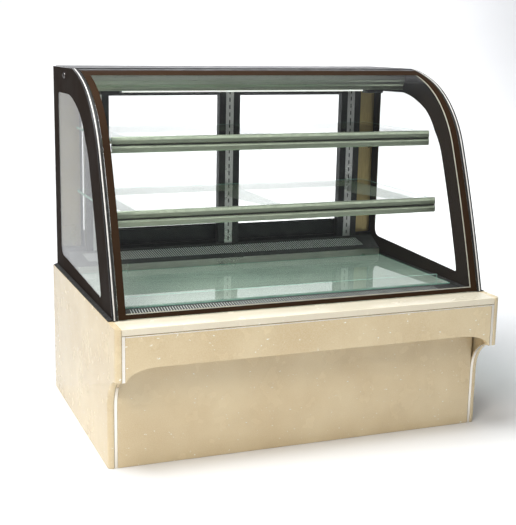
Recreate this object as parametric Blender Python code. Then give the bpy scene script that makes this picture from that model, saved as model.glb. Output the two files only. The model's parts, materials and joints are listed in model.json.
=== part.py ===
"""Refrigerated curved-glass display showcase on a stone-clad base.

Metres, +Z up. X runs along the counter, the customer's side faces -Y, and the origin is on the floor
under the middle of the cabinet.
"""

import math

import bmesh
import bpy
from mathutils import Matrix, Vector

# Overall sizes
WIDTH = 1.200
DEPTH = 0.850
HEIGHT = 1.098
FRONT = -DEPTH / 2
REAR = DEPTH / 2
HALF = WIDTH / 2
FIT = 0.0004
EASE = 0.0006
SHEET = 0.002

# Stone base
STONE = 0.018
LEDGE_TOP = 0.432
LEDGE_THICK = 0.020
LEDGE_BACK = -0.318
APRON_THICK = 0.020
APRON_END_Z = 0.282
APRON_RISE = 0.036
BRACKET_RUN = 0.100
KICK_FACE = FRONT + 0.092
CORBEL_FOOT_Z = 0.180
SIDE_ROUND = 0.014
STRIP_WIDE = 0.009
STRIP_THICK = 0.004
INNER = HALF - STONE
APRON_HALF = INNER - STRIP_WIDE

# Curved glass: the outer face rises from the foot in arcs of radius, lean at each end, and steps
FOOT_Y = -0.345
FOOT_Z = LEDGE_TOP + 0.0025
GLASS_ARCS = ((4.060, 15.5, 22.0, 7), (0.345, 22.0, 68.0, 14), (0.620, 68.0, 80.0, 5))
FRONT_GLASS_THICK = 0.006
TRIM_THICK = 0.0026
END_GLASS_OUT = 0.586
END_GLASS_IN = 0.578
END_GLASS_TOP = HEIGHT - 0.0015
END_GLASS_REAR = REAR - 0.003
GASKET_IN = 0.5715
GASKET_OUT = 0.5775
FRONT_GLASS_HALF = 0.5705
SILL_HIGH = 0.0085
HINGE_Y = 0.1235
HINGE_Z = 1.0930

# Insulated tub and what is in it
FRAME_HALF = 0.568
FRAME_FRONT = -0.300
FRAME_REAR = 0.395
TUBE = 0.025
PAD_HIGH = 0.020
PAD_RADIUS = 0.022
FLOOR_PLATE_TOP = 0.048
FRAME_RING_LOW = 0.193
TUB_BOTTOM = 0.2205
TUB_TOP = 0.4250
TUB_FRONT = -0.305
TUB_REAR = 0.330
TUB_WALL = 0.030
TUB_HALF = 0.570
DRAIN_X = -0.360
DRAIN_Y = 0.100
DRAIN_RADIUS = 0.008

# Deck
DECK_HALF = 0.560
DECK_THICK = 0.006
DECK_FRONT = -0.205
DECK_BACK = 0.262
DECK_TOP = TUB_TOP + FIT + DECK_THICK
GUARD_HALF = 0.515
GUARD_Y = -0.200
GUARD_THICK = 0.005
GUARD_TOP = 0.461
GRILLE_FRONT = -0.314
GRILLE_BACK = -0.206
GRILLE_THICK = 0.003
GRILLE_BORDER_FRONT = 0.040
GRILLE_BORDER_BACK = 0.010
SLOT_PITCH = 0.0160
SLOT_WIDE = 0.0075
SLOT_LEAN = 0.022
SLOTTED_HALF = 0.440
HOOD_FRONT = 0.266
HOOD_STEP_Z = 0.453
HOOD_BACK = 0.333
HOOD_TOP = 0.492
HOOD_SLOTTED_HALF = 0.515

# Rear posts and sliding doors
POST_XS = (-0.460, 0.0, 0.460)
POST_HALF = 0.0375
POST_FRONT = 0.3365
POST_BACK = 0.3635
STANDARD_SLOT_PITCH = 0.050
STANDARD_SLOT_LONG = 0.020
CANOPY_BOTTOM = 1.0755
TRACK_FRONT = POST_BACK + FIT
TRACK_BACK = 0.420
TRACK_HALF = 0.575
SILL_TOP = 0.497
HEADER_BOTTOM = 1.030
SILL_GROOVE = 0.008
HEADER_GROOVE = 0.012
DOOR_THICK = 0.012
INNER_DOOR_Y = 0.379
OUTER_DOOR_Y = 0.401
GROOVE_WIDE = 0.016
DOOR_LOW = SILL_TOP - SILL_GROOVE + 0.001
DOOR_HIGH = HEADER_BOTTOM + 0.008
DOOR_OUT = 0.5735
DOOR_LAP = 0.020
DOOR_STILE = 0.030
DOOR_OUTER_STILE = 0.074
DOOR_BOTTOM_RAIL = 0.055
DOOR_GLASS_THICK = 0.004
PULL_HALF_X = 0.009
PULL_HALF_Z = 0.050
PULL_DEEP = 0.006

# Shelves
SHELF_LEFT = -0.526
SHELF_RIGHT = 0.512
SHELF_THICK = 0.008
SHELF_BACK = 0.330
SHELVES = {"upper": (-0.112, 0.864), "lower": (-0.170, 0.658)}
RAIL_HIGH = 0.046
RAIL_GLASS_Z = 0.034
RAIL_GLASS_Y = 0.006
LAMP_RADIUS = 0.008
SHELF_LAMP_Y = 0.017
SHELF_LAMP_Z = 0.015
SHELF_LAMP_CAP = 0.020
ARM_HALF = 0.004
ARM_FRONT_HIGH = 0.014
ARM_BACK_HIGH = 0.042

# Canopy
CANOPY_FRONT = 0.127
LAMP_HOUSING_HALF = 0.555
LAMP_HOUSING_FRONT = 0.134
LAMP_HOUSING_BACK = 0.228
LAMP_HOUSING_BOTTOM = 1.028
TOP_LAMP_Y = 0.182
TOP_LAMP_Z = 1.030
TOP_LAMP_HALF = 0.490
LAMP_HOLDER_LONG = 0.060
LAMP_HOLDER_HALF = 0.020
LAMP_HOLDER_UP = 0.040
LAMP_HOLDER_DOWN = 0.014
BOLT_Y = 0.239
BOLT_Z = 1.072
BOLT_HEAD_RADIUS = 0.0095
BOLT_SHANK_RADIUS = 0.0036
BOLT_HOLE_RADIUS = 0.0042

# Machinery
COMPRESSOR_AT = (0.380, 0.090)
COMPRESSOR_RADIUS = 0.072
COMPRESSOR_DOME = 0.042
CONDENSER_X = (-0.080, 0.200)
CONDENSER_Y = (0.300, 0.362)
CONDENSER_Z = (FLOOR_PLATE_TOP + FIT, 0.205)
EVAPORATOR_X = (-0.500, 0.500)
EVAPORATOR_Y = (0.150, 0.230)
EVAPORATOR_Z = (0.2560, 0.395)
CONDENSER_FAN_AT = (0.060, 0.278, 0.127)
CONDENSER_FAN_RADIUS = 0.062
EVAPORATOR_FAN_AT = (0.0, 0.090, 0.330)
EVAPORATOR_FAN_RADIUS = 0.056
FAN_BLADES = 5
FAN_HUB_RADIUS = 0.018
FAN_HUB_DEEP = 0.016
FAN_WAY_GAP = 0.006
FAN_ARMS = 3
FAN_MOTOR_AHEAD = 0.030
FAN_PLATE_HALF = 0.002
TRAY_X = (-0.500, -0.200)
TRAY_FRONT = 0.060
TRAY_LOW = FLOOR_PLATE_TOP + 0.001
TRAY_HIGH = 0.085
TRAY_WALL = 0.003

# Rear service panel and controls
PANEL_HALF = 0.578
PANEL_LOW = 0.092
PANEL_HIGH = 0.428
PANEL_FACE = 0.419
PANEL_DEEP = 0.012
LOUVRE_XS = (-0.140, 0.060, 0.260)
LOUVRE_ROWS = 9
LOUVRE_PITCH = 0.018
LOUVRE_LONG = 0.150
LOUVRE_HIGH = 0.006
LOUVRE_LOW_Z = 0.130
CONTROL_X = (0.330, 0.530)
CONTROL_Z = (0.330, 0.400)
CONTROL_DEEP = 0.050
CONTROL_FACE = 0.4215
DISPLAY_X = (0.436, 0.506)
DISPLAY_Z = (0.362, 0.390)
BUTTON_Z = 0.350
BUTTON_XS = {"set_button": 0.440, "up_button": 0.468, "down_button": 0.496}
BUTTON_RADIUS = 0.006
BUTTON_PROUD = 0.0025
BUTTON_DEEP = 0.004
BUTTON_POCKET = 0.008
SWITCH_Z = 0.365
SWITCH_XS = {"power_switch": 0.350, "light_switch": 0.376}
SWITCH_HALF_X = 0.0065
SWITCH_HALF_Z = 0.0110
SWITCH_POCKET = 0.010
SWITCH_TILT = math.radians(8)
GLAND_AT = (-0.520, 0.160)
GLAND_RADIUS = 0.010
GLAND_BORE = 0.0045

MATERIALS = {}


def make_materials():
    """One shader for each kind of surface: colour, metallic, roughness, transmission."""
    looks = {
        "cream_stone": ((0.78, 0.68, 0.50), 0.0, 0.28, 0.0),
        "bright_steel": ((0.80, 0.78, 0.74), 1.0, 0.18, 0.0),
        "grey_steel": ((0.45, 0.46, 0.47), 0.6, 0.45, 0.0),
        "black_coat": ((0.015, 0.015, 0.018), 0.0, 0.40, 0.0),
        "black_rubber": ((0.012, 0.012, 0.012), 0.0, 0.70, 0.0),
        "clear_glass": ((0.86, 0.95, 0.91), 0.0, 0.03, 1.0),
        "silver_aluminium": ((0.62, 0.66, 0.60), 0.9, 0.32, 0.0),
        "lamp_white": ((0.95, 0.95, 0.92), 0.0, 0.35, 0.0),
        "foam_white": ((0.72, 0.73, 0.72), 0.0, 0.60, 0.0),
        "compressor_black": ((0.03, 0.03, 0.035), 0.2, 0.35, 0.0),
        "fan_grey": ((0.20, 0.21, 0.22), 0.0, 0.45, 0.0),
        "switch_red": ((0.55, 0.03, 0.02), 0.0, 0.30, 0.0),
    }
    for name, (color, metallic, roughness, transmission) in looks.items():
        material = bpy.data.materials.new(name)
        material.use_nodes = True
        shader = material.node_tree.nodes["Principled BSDF"]
        shader.inputs["Base Color"].default_value = (*color, 1.0)
        shader.inputs["Metallic"].default_value = metallic
        shader.inputs["Roughness"].default_value = roughness
        shader.inputs["Transmission Weight"].default_value = transmission
        MATERIALS[name] = material


# Mesh tools


def loft(rings):
    """Skin rings of equal point count, and cap the ends."""
    bm = bmesh.new()
    loops = [[bm.verts.new(point) for point in ring] for ring in rings]
    for lower, upper in zip(loops, loops[1:]):
        for i in range(len(lower)):
            j = (i + 1) % len(lower)
            bm.faces.new((lower[i], lower[j], upper[j], upper[i]))
    bm.faces.new(loops[0])
    bm.faces.new(loops[-1])
    bmesh.ops.recalc_face_normals(bm, faces=bm.faces)
    return bm


def prism_x(outline, low, high):
    """An outline of (y, z) points extruded along X."""
    return loft([[(x, y, z) for y, z in outline] for x in (low, high)])


def prism_y(outline, low, high):
    """An outline of (x, z) points extruded along Y."""
    return loft([[(x, y, z) for x, z in outline] for y in (low, high)])


def prism_z(outline, low, high):
    """An outline of (x, y) points extruded along Z."""
    return loft([[(x, y, z) for x, y in outline] for z in (low, high)])


def box(low, high, bevel=0.0, segments=1):
    """A box between two corners, with its edges bevelled on request."""
    x0, y0, z0 = low
    x1, y1, z1 = high
    bm = prism_z([(x0, y0), (x1, y0), (x1, y1), (x0, y1)], z0, z1)
    if bevel:
        bmesh.ops.bevel(
            bm, geom=bm.edges[:], offset=bevel, segments=segments, profile=0.5, affect="EDGES"
        )
    return bm


def turned(profile, centre, axis, segments=24):
    """A solid of revolution: (radius, distance along the axis) pairs turned about an axis through centre."""
    turn = {"X": (1, 2, 0), "Y": (2, 0, 1), "Z": (0, 1, 2)}[axis]
    rings = []
    for radius, along in profile:
        ring = []
        for k in range(segments):
            angle = 2 * math.pi * k / segments
            place = [0.0, 0.0, 0.0]
            place[turn[0]] = centre[turn[0]] + radius * math.cos(angle)
            place[turn[1]] = centre[turn[1]] + radius * math.sin(angle)
            place[turn[2]] = centre[turn[2]] + along
            ring.append(place)
        rings.append(ring)
    return loft(rings)


def merge(parts):
    """Several meshes in one, each still its own shell."""
    bm = parts[0]
    for part in parts[1:]:
        mesh = bpy.data.meshes.new("merge")
        part.to_mesh(mesh)
        part.free()
        bm.from_mesh(mesh)
        bpy.data.meshes.remove(mesh)
    return bm


def add(name, bm, material, pivot=(0.0, 0.0, 0.0), smooth=False):
    """Make an object of a mesh built in world coordinates, with its origin at the pivot."""
    mesh = bpy.data.meshes.new(name)
    bm.to_mesh(mesh)
    bm.free()
    mesh.transform(Matrix.Translation(-Vector(pivot)))
    if smooth:
        mesh.shade_smooth()
        mesh.set_sharp_from_angle(angle=math.radians(35))
    obj = bpy.data.objects.new(name, mesh)
    obj.location = pivot
    obj.data.materials.append(MATERIALS[material])
    bpy.context.scene.collection.objects.link(obj)
    return obj


def combine(obj, bm, operation):
    """Cut a mesh from an object, or weld it on."""
    kind = "cutter" if operation == "DIFFERENCE" else "weld"
    helper = add(f"{obj.name}_{kind}_{len(obj.modifiers)}", bm, obj.data.materials[0].name)
    helper.hide_render = True
    helper.display_type = "WIRE"
    modifier = obj.modifiers.new(kind, "BOOLEAN")
    modifier.operation = operation
    modifier.solver = "EXACT"
    modifier.use_self = operation == "UNION"
    modifier.object = helper


def cut(obj, bm):
    combine(obj, bm, "DIFFERENCE")


def weld(obj, bm):
    combine(obj, bm, "UNION")


def arc(centre, radii, start, end, steps):
    """Points on an ellipse arc from one angle to another, in degrees."""
    points = []
    for k in range(steps + 1):
        angle = math.radians(start + (end - start) * k / steps)
        points.append((centre[0] + radii[0] * math.cos(angle), centre[1] + radii[1] * math.sin(angle)))
    return points


def glass_profile(inset):
    """(y, z) points up the curved glass, set in from its outer face."""
    points = []
    y, z = FOOT_Y, FOOT_Z
    for radius, first, last, steps in GLASS_ARCS:
        for k in range(steps + 1):
            lean = math.radians(first + (last - first) * k / steps)
            along_y = y + radius * (math.cos(math.radians(first)) - math.cos(lean))
            along_z = z + radius * (math.sin(lean) - math.sin(math.radians(first)))
            if k or not points:
                points.append((along_y + inset * math.cos(lean), along_z - inset * math.sin(lean)))
        y, z = along_y, along_z
    return points


def glass_band(near, far, drop=0):
    """A closed (y, z) outline between two insets of the curved glass, a few steps short of its top."""
    outer = glass_profile(near)
    inner = glass_profile(far)
    if drop:
        outer = outer[:-drop]
        inner = inner[:-drop]
    return outer + inner[::-1]


# Stone base


def corbel_outline(inset):
    """A side panel's outline, with its front edges set back by the inset."""
    run = KICK_FACE - FRONT + inset
    rise = APRON_END_Z - CORBEL_FOOT_Z
    start = 90 - math.degrees(math.asin(inset / run))
    sweep = arc((FRONT, CORBEL_FOOT_Z), (run, rise), start, 0, 10)
    return [(FRONT + inset, LEDGE_TOP), *sweep, (KICK_FACE + inset, 0.0), (REAR, 0.0), (REAR, LEDGE_TOP)]


def stone_sides():
    """Side panels with a quarter-round front edge on the outside."""
    steps = 4
    for name, side in (("left_stone_side", -1), ("right_stone_side", 1)):
        rings = []
        for k in range(steps + 1):
            angle = math.radians(90 * k / steps)
            x = HALF - SIDE_ROUND * (1 - math.sin(angle))
            inset = SIDE_ROUND * (1 - math.cos(angle))
            rings.append([(side * x, y, z) for y, z in corbel_outline(inset)])
        rings.insert(0, [(side * (INNER + FIT), y, z) for y, z in corbel_outline(0.0)])
        add(name, loft(rings), "cream_stone")


def front_apron():
    """Front slab whose lower edge drops in a rounded bracket at each end."""
    half = APRON_HALF - FIT
    top = LEDGE_TOP - LEDGE_THICK - FIT
    reach = BRACKET_RUN
    right = arc((half - reach, APRON_END_Z), (reach - 0.004, APRON_RISE), 90, 0, 9)
    left = [(-x, z) for x, z in reversed(right)]
    outline = [(-half, APRON_END_Z), *left, *right, (half, APRON_END_Z), (half, top), (-half, top)]
    add("front_apron", prism_y(outline, FRONT, FRONT + APRON_THICK), "cream_stone")


def kick_panel():
    """Recessed stone panel down to the floor."""
    half = APRON_HALF - FIT
    top = LEDGE_TOP - LEDGE_THICK - FIT
    low = (-half, KICK_FACE, 0.0)
    high = (half, KICK_FACE + STONE - 0.003, top)
    add("kick_panel", box(low, high), "cream_stone")


def stone_ledge():
    """Stone slab in front of the glass."""
    low = (-INNER + FIT, FRONT, LEDGE_TOP - LEDGE_THICK)
    high = (INNER - FIT, LEDGE_BACK, LEDGE_TOP)
    add("stone_ledge", box(low, high, bevel=0.0015), "cream_stone")


def profile_strips():
    """Bright metal strips between each side panel and the apron and kick panel."""
    top = LEDGE_TOP - LEDGE_THICK - FIT
    run = KICK_FACE - FRONT
    rise = APRON_END_Z - CORBEL_FOOT_Z
    outer = [(FRONT, top), *arc((FRONT, CORBEL_FOOT_Z), (run, rise), 90, 0, 10), (KICK_FACE, 0.0)]
    bend = arc((FRONT, CORBEL_FOOT_Z), (run + STRIP_THICK, rise + STRIP_THICK), 87, 0, 10)
    inner = [(FRONT + STRIP_THICK, top), *bend, (KICK_FACE + STRIP_THICK, 0.0)]
    outline = outer + inner[::-1]
    for name, side in (("left_profile_strip", -1), ("right_profile_strip", 1)):
        low, high = sorted((side * APRON_HALF, side * (INNER - FIT)))
        add(name, prism_x(outline, low, high), "bright_steel")


# Frame and machinery


def base_frame():
    """Welded tube frame on four pads, with a floor plate for the machinery."""
    half, front, rear = FRAME_HALF, FRAME_FRONT, FRAME_REAR
    low, high = PAD_HIGH, FRAME_RING_LOW
    lap = 0.001
    rear_tube = box((lap - half, rear - TUBE, low), (half - lap, rear, low + TUBE))
    frame = add("base_frame", rear_tube, "grey_steel")
    parts = [box((lap - half, front, low), (half - lap, front + TUBE, low + TUBE))]
    plate_low = (2 * lap - half, front + 2 * lap, low + TUBE - lap / 2)
    parts.append(box(plate_low, (half - 2 * lap, rear - 2 * lap, FLOOR_PLATE_TOP)))
    for y in (front, rear - TUBE):
        parts.append(box((lap - half, y, high), (half - lap, y + TUBE, high + TUBE)))
    for side in (-1, 1):
        near, far = sorted((side * half, side * (half - TUBE)))
        for z in (low, high):
            side_low = (near, front + lap, z + lap)
            parts.append(box(side_low, (far, rear - lap, z + TUBE + lap)))
        for y in (front + 2 * lap, rear - TUBE + lap):
            post_high = (far - lap, y + TUBE - 3 * lap, high + TUBE - lap)
            parts.append(box((near + lap, y, low + 2 * lap), post_high))
            centre = ((near + far) / 2, y + TUBE / 2, 0.0)
            parts.append(turned([(PAD_RADIUS, 0.0), (PAD_RADIUS, low + 4 * lap)], centre, "Z", 16))
    weld(frame, merge(parts))


def insulated_tub():
    """Foamed tub under the deck, open at the top, with a drain."""
    low = (-TUB_HALF, TUB_FRONT, TUB_BOTTOM)
    tub = add("insulated_tub", box(low, (TUB_HALF, TUB_REAR, TUB_TOP)), "foam_white")
    inside_low = (-TUB_HALF + TUB_WALL, TUB_FRONT + TUB_WALL, TUB_BOTTOM + TUB_WALL)
    inside_high = (TUB_HALF - TUB_WALL, TUB_REAR - TUB_WALL, TUB_TOP + TUB_WALL)
    cut(tub, box(inside_low, inside_high))
    centre = (DRAIN_X, DRAIN_Y, TUB_BOTTOM)
    cut(tub, turned([(DRAIN_RADIUS, -TUB_WALL), (DRAIN_RADIUS, 2 * TUB_WALL)], centre, "Z", 16))


def compressor():
    """Hermetic shell with a seam and a domed top, on a foot plate, with a terminal cover in front."""
    radius = COMPRESSOR_RADIUS
    base = FLOOR_PLATE_TOP + FIT
    shoulder = 0.112
    profile = [(radius * 0.55, 0.004), (radius * 0.90, 0.016), (radius, 0.034), (radius, 0.074)]
    profile += [(radius + 0.004, 0.076), (radius + 0.004, 0.082), (radius, 0.084), (radius, shoulder)]
    for degrees in (22, 45, 65, 80):
        angle = math.radians(degrees)
        profile.append((radius * math.cos(angle), shoulder + COMPRESSOR_DOME * math.sin(angle)))
    x, y = COMPRESSOR_AT
    shell = add("compressor", turned(profile, (x, y, base), "Z", 32), "compressor_black", smooth=True)
    reach = radius * 0.98
    foot_plate = box((x - reach, y - reach, base), (x + reach, y + reach, base + 0.006), bevel=0.0015)
    cover_low = (x - 0.022, y - radius - 0.024, base + 0.030)
    cover = box(cover_low, (x + 0.022, y - radius + 0.012, base + 0.066), bevel=0.002)
    weld(shell, foot_plate)
    weld(shell, cover)


def fin_block(name, xs, ys, zs, fins):
    """A heat exchanger: a finned block, grooved front and back."""
    low_x, high_x = xs
    low_y, high_y = ys
    core = (high_y - low_y) * 0.36
    pitch = (high_x - low_x) / (fins + (fins - 1) * 2)
    front = []
    for k in range(fins):
        start = low_x + k * 3 * pitch
        front += [(start, low_y), (start + pitch, low_y)]
        if k < fins - 1:
            front += [(start + pitch, low_y + core), (start + 3 * pitch, low_y + core)]
    back = [(x, low_y + high_y - y) for x, y in reversed(front)]
    add(name, prism_z(front + back, *zs), "silver_aluminium")


def fan_blade(radius):
    """One twisted blade along +X, wider and flatter towards its tip."""
    root = FAN_HUB_RADIUS * 0.8
    thick = 0.0009
    rings = []
    for t in (0.0, 0.5, 1.0):
        reach = root + (radius - root) * t
        half = 0.011 + 0.009 * t
        tilt = math.radians(42 - 16 * t)
        ring = []
        for across, lift in ((-half, -thick), (half, -thick), (half, thick), (-half, thick)):
            y = across * math.sin(tilt) * 0.6 + lift
            z = across * math.cos(tilt) - lift * math.sin(tilt)
            ring.append((reach, y, z))
        rings.append(ring)
    return loft(rings)


def fan(name, centre, radius):
    """Hub and twisted blades on an axis along Y."""
    hub, deep = FAN_HUB_RADIUS, FAN_HUB_DEEP
    profile = [(hub * 0.7, -deep / 2), (hub, -deep / 3), (hub, deep / 2)]
    rotor = add(name, turned(profile, centre, "Y", 20), "fan_grey", pivot=centre, smooth=True)
    blades = []
    for k in range(FAN_BLADES):
        blade = fan_blade(radius)
        blade.transform(Matrix.Translation(centre) @ Matrix.Rotation(2 * math.pi * k / FAN_BLADES, 4, "Y"))
        blades.append(blade)
    weld(rotor, merge(blades))


def fan_plate(name, low, high, centre, radius):
    """A plate with a round air way, and a motor held in front of it by arms."""
    plate = add(name, box(low, high), "grey_steel")
    middle = (low[1] + high[1]) / 2
    motor_y = middle - FAN_MOTOR_AHEAD
    way_radius = radius + FAN_WAY_GAP
    cut(plate, turned([(way_radius, -0.01), (way_radius, 0.01)], (centre[0], middle, centre[2]), "Y", 28))
    parts = [turned([(0.016, 0.0), (0.016, 0.018)], (centre[0], motor_y, centre[2]), "Y", 20)]
    reach = way_radius + 0.010
    for k in range(FAN_ARMS):
        arm = box((0.0, motor_y + 0.004, -0.003), (reach, motor_y + 0.008, 0.003))
        foot = box((reach - 0.008, motor_y + 0.003, -0.004), (reach + 0.001, middle, 0.004))
        turn = Matrix.Rotation(2 * math.pi * k / FAN_ARMS + math.pi / 2, 4, "Y")
        for piece in (arm, foot):
            piece.transform(Matrix.Translation((centre[0], 0.0, centre[2])) @ turn)
            parts.append(piece)
    weld(plate, merge(parts))


def fans():
    """Both fans with the plates that carry them."""
    fan("condenser_fan", CONDENSER_FAN_AT, CONDENSER_FAN_RADIUS)
    fan("evaporator_fan", EVAPORATOR_FAN_AT, EVAPORATOR_FAN_RADIUS)
    y = CONDENSER_FAN_AT[1]
    low = (CONDENSER_X[0], y - FAN_PLATE_HALF, CONDENSER_Z[0])
    high = (CONDENSER_X[1], y + FAN_PLATE_HALF, CONDENSER_Z[1])
    fan_plate("condenser_fan_shroud", low, high, CONDENSER_FAN_AT, CONDENSER_FAN_RADIUS)
    y = EVAPORATOR_FAN_AT[1]
    half = TUB_HALF - TUB_WALL - 0.005
    low = (-half, y - FAN_PLATE_HALF, EVAPORATOR_Z[0])
    high = (half, y + FAN_PLATE_HALF, TUB_TOP - 0.010)
    fan_plate("evaporator_fan_plate", low, high, EVAPORATOR_FAN_AT, EVAPORATOR_FAN_RADIUS)


def condensate_tray():
    """Drip tray that slides out at the back."""
    low = (TRAY_X[0], TRAY_FRONT, TRAY_LOW)
    high = (TRAY_X[1], PANEL_FACE, TRAY_HIGH)
    tray = add("condensate_tray", box(low, high), "grey_steel", pivot=(TRAY_X[0], PANEL_FACE, TRAY_LOW))
    inside_low = (low[0] + TRAY_WALL, low[1] + TRAY_WALL, low[2] + TRAY_WALL)
    inside_high = (high[0] - TRAY_WALL, high[1] - TRAY_WALL, high[2] + TRAY_WALL)
    cut(tray, box(inside_low, inside_high))


# Rear service panel and controls


def rear_service_panel():
    """Pressed steel panel with louvres, a window for the controls and a cord hole."""
    low = (-PANEL_HALF, PANEL_FACE - PANEL_DEEP, PANEL_LOW)
    high = (PANEL_HALF, PANEL_FACE, PANEL_HIGH)
    panel = add("rear_service_panel", box(low, high), "grey_steel")
    hollow_low = (low[0] + SHEET, low[1] - SHEET, low[2] + SHEET)
    hollow_high = (high[0] - SHEET, high[1] - SHEET, high[2] - SHEET)
    cut(panel, box(hollow_low, hollow_high))
    near, far = PANEL_FACE - PANEL_DEEP / 2, PANEL_FACE + PANEL_DEEP / 2
    holes = []
    for x in LOUVRE_XS:
        for row in range(LOUVRE_ROWS):
            z = LOUVRE_LOW_Z + row * LOUVRE_PITCH
            holes.append(box((x - LOUVRE_LONG / 2, near, z), (x + LOUVRE_LONG / 2, far, z + LOUVRE_HIGH)))
    window_low = (CONTROL_X[0] - EASE, near, CONTROL_Z[0] - EASE)
    holes.append(box(window_low, (CONTROL_X[1] + EASE, far, CONTROL_Z[1] + EASE)))
    radius = GLAND_RADIUS + EASE
    centre = (GLAND_AT[0], PANEL_FACE, GLAND_AT[1])
    holes.append(turned([(radius, -PANEL_DEEP / 2), (radius, PANEL_DEEP / 2)], centre, "Y", 20))
    cut(panel, merge(holes))


def cord_gland():
    """Cord gland with a bore right through it."""
    centre = (GLAND_AT[0], PANEL_FACE, GLAND_AT[1])
    flange = GLAND_RADIUS + 0.004
    profile = [(GLAND_RADIUS, -0.020), (GLAND_RADIUS, FIT), (flange, FIT), (flange, 0.0035)]
    profile.append((GLAND_RADIUS + 0.002, 0.0055))
    gland = add("cord_gland", turned(profile, centre, "Y", 20), "black_rubber", smooth=True)
    cut(gland, turned([(GLAND_BORE, -0.030), (GLAND_BORE, 0.012)], centre, "Y", 16))


def control_box():
    """Control box with pockets for its buttons, rocker switches and display."""
    low = (CONTROL_X[0], CONTROL_FACE - CONTROL_DEEP, CONTROL_Z[0])
    high = (CONTROL_X[1], CONTROL_FACE, CONTROL_Z[1])
    case = add("control_box", box(low, high, bevel=0.001), "black_coat")
    ahead = CONTROL_FACE + 0.004
    pockets = []
    radius = BUTTON_RADIUS + EASE
    for x in BUTTON_XS.values():
        centre = (x, CONTROL_FACE, BUTTON_Z)
        pockets.append(turned([(radius, -BUTTON_POCKET), (radius, ahead - CONTROL_FACE)], centre, "Y", 20))
    half_x = SWITCH_HALF_X + EASE
    half_z = SWITCH_HALF_Z + 2 * EASE
    for x in SWITCH_XS.values():
        pocket_low = (x - half_x, CONTROL_FACE - SWITCH_POCKET, SWITCH_Z - half_z)
        pockets.append(box(pocket_low, (x + half_x, ahead, SWITCH_Z + half_z)))
    display_low = (DISPLAY_X[0], CONTROL_FACE - 0.0015, DISPLAY_Z[0])
    pockets.append(box(display_low, (DISPLAY_X[1], ahead, DISPLAY_Z[1])))
    cut(case, merge(pockets))


def buttons():
    """Round push buttons on the controller."""
    radius = BUTTON_RADIUS
    chamfer = 0.0008
    profile = [(radius, -BUTTON_DEEP), (radius, BUTTON_PROUD - chamfer), (radius - chamfer, BUTTON_PROUD)]
    for name, x in BUTTON_XS.items():
        centre = (x, CONTROL_FACE, BUTTON_Z)
        add(name, turned(profile, centre, "Y", 20), "fan_grey", pivot=centre, smooth=True)


def switches():
    """Rocker switches, each tipped to its off side."""
    half = SWITCH_HALF_Z
    outline = [(-0.0035, -half * 0.7), (0.0030, -half), (0.0018, 0.0), (0.0030, half), (-0.0035, half * 0.7)]
    for name, x in SWITCH_XS.items():
        pivot = (x, CONTROL_FACE - 0.0015, SWITCH_Z)
        rocker = prism_x(outline, -SWITCH_HALF_X, SWITCH_HALF_X)
        rocker.transform(Matrix.Translation(pivot) @ Matrix.Rotation(-SWITCH_TILT, 4, "X"))
        color = "switch_red" if name == "power_switch" else "fan_grey"
        add(name, rocker, color, pivot=pivot)


# Deck


def slanted_slots(half, near, far, low, high):
    """Cutters for a row of slots that lean along X, between two places across and two heights."""
    slots = []
    count = int(2 * half / SLOT_PITCH)
    for k in range(count):
        x = -half + (k + 0.5) * SLOT_PITCH
        foot = [(x, near), (x + SLOT_WIDE, near), (x + SLOT_WIDE + SLOT_LEAN, far), (x + SLOT_LEAN, far)]
        slots.append(prism_z(foot, low, high))
    return merge(slots)


def deck():
    """Deck glass, its low front guard and the front air grille."""
    low_z = TUB_TOP + FIT
    deck_glass = box((-DECK_HALF, DECK_FRONT, low_z), (DECK_HALF, DECK_BACK, DECK_TOP), bevel=0.001)
    add("deck_glass", deck_glass, "clear_glass")
    guard_low = (-GUARD_HALF, GUARD_Y, DECK_TOP + FIT)
    guard_high = (GUARD_HALF, GUARD_Y + GUARD_THICK, GUARD_TOP)
    add("front_guard_glass", box(guard_low, guard_high, bevel=0.001), "clear_glass")
    grille = box((-DECK_HALF, GRILLE_FRONT, low_z), (DECK_HALF, GRILLE_BACK, low_z + GRILLE_THICK))
    front = add("front_air_grille", grille, "black_coat")
    near, far = GRILLE_FRONT + GRILLE_BORDER_FRONT, GRILLE_BACK - GRILLE_BORDER_BACK
    cut(front, slanted_slots(SLOTTED_HALF, near, far, low_z - 0.01, low_z + 0.01))


def rear_air_grille():
    """Bent sheet over the rear air duct, with slanted slots in its sloping face."""
    low = TUB_TOP + FIT
    step = HOOD_STEP_Z
    outer = [(HOOD_FRONT, low), (HOOD_FRONT, step), (HOOD_BACK, HOOD_TOP)]
    inner = [(HOOD_BACK, HOOD_TOP - SHEET), (HOOD_FRONT + SHEET, step - SHEET), (HOOD_FRONT + SHEET, low)]
    hood = add("rear_air_grille", prism_x(outer + inner, -DECK_HALF, DECK_HALF), "black_coat")
    near, far = HOOD_FRONT + GRILLE_BORDER_BACK, HOOD_BACK - GRILLE_BORDER_BACK
    cut(hood, slanted_slots(HOOD_SLOTTED_HALF, near, far, step - 0.01, HOOD_TOP + 0.01))


# Glass body


def end_glass():
    """Flat end panes with a curved front edge and a bolt hole."""
    curve = glass_profile(TRIM_THICK + FIT)
    foot = LEDGE_TOP + FIT
    rear = END_GLASS_REAR
    top = END_GLASS_TOP
    outline = [*curve, (CANOPY_FRONT, top), (rear, top), (rear, foot), (curve[0][0], foot)]
    for name, side in (("left_end_glass", -1), ("right_end_glass", 1)):
        low, high = sorted((side * END_GLASS_IN, side * END_GLASS_OUT))
        pane = add(name, prism_x(outline, low, high), "clear_glass")
        centre = (side * END_GLASS_IN, BOLT_Y, BOLT_Z)
        cut(pane, turned([(BOLT_HOLE_RADIUS, -0.02), (BOLT_HOLE_RADIUS, 0.02)], centre, "X", 16))


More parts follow.
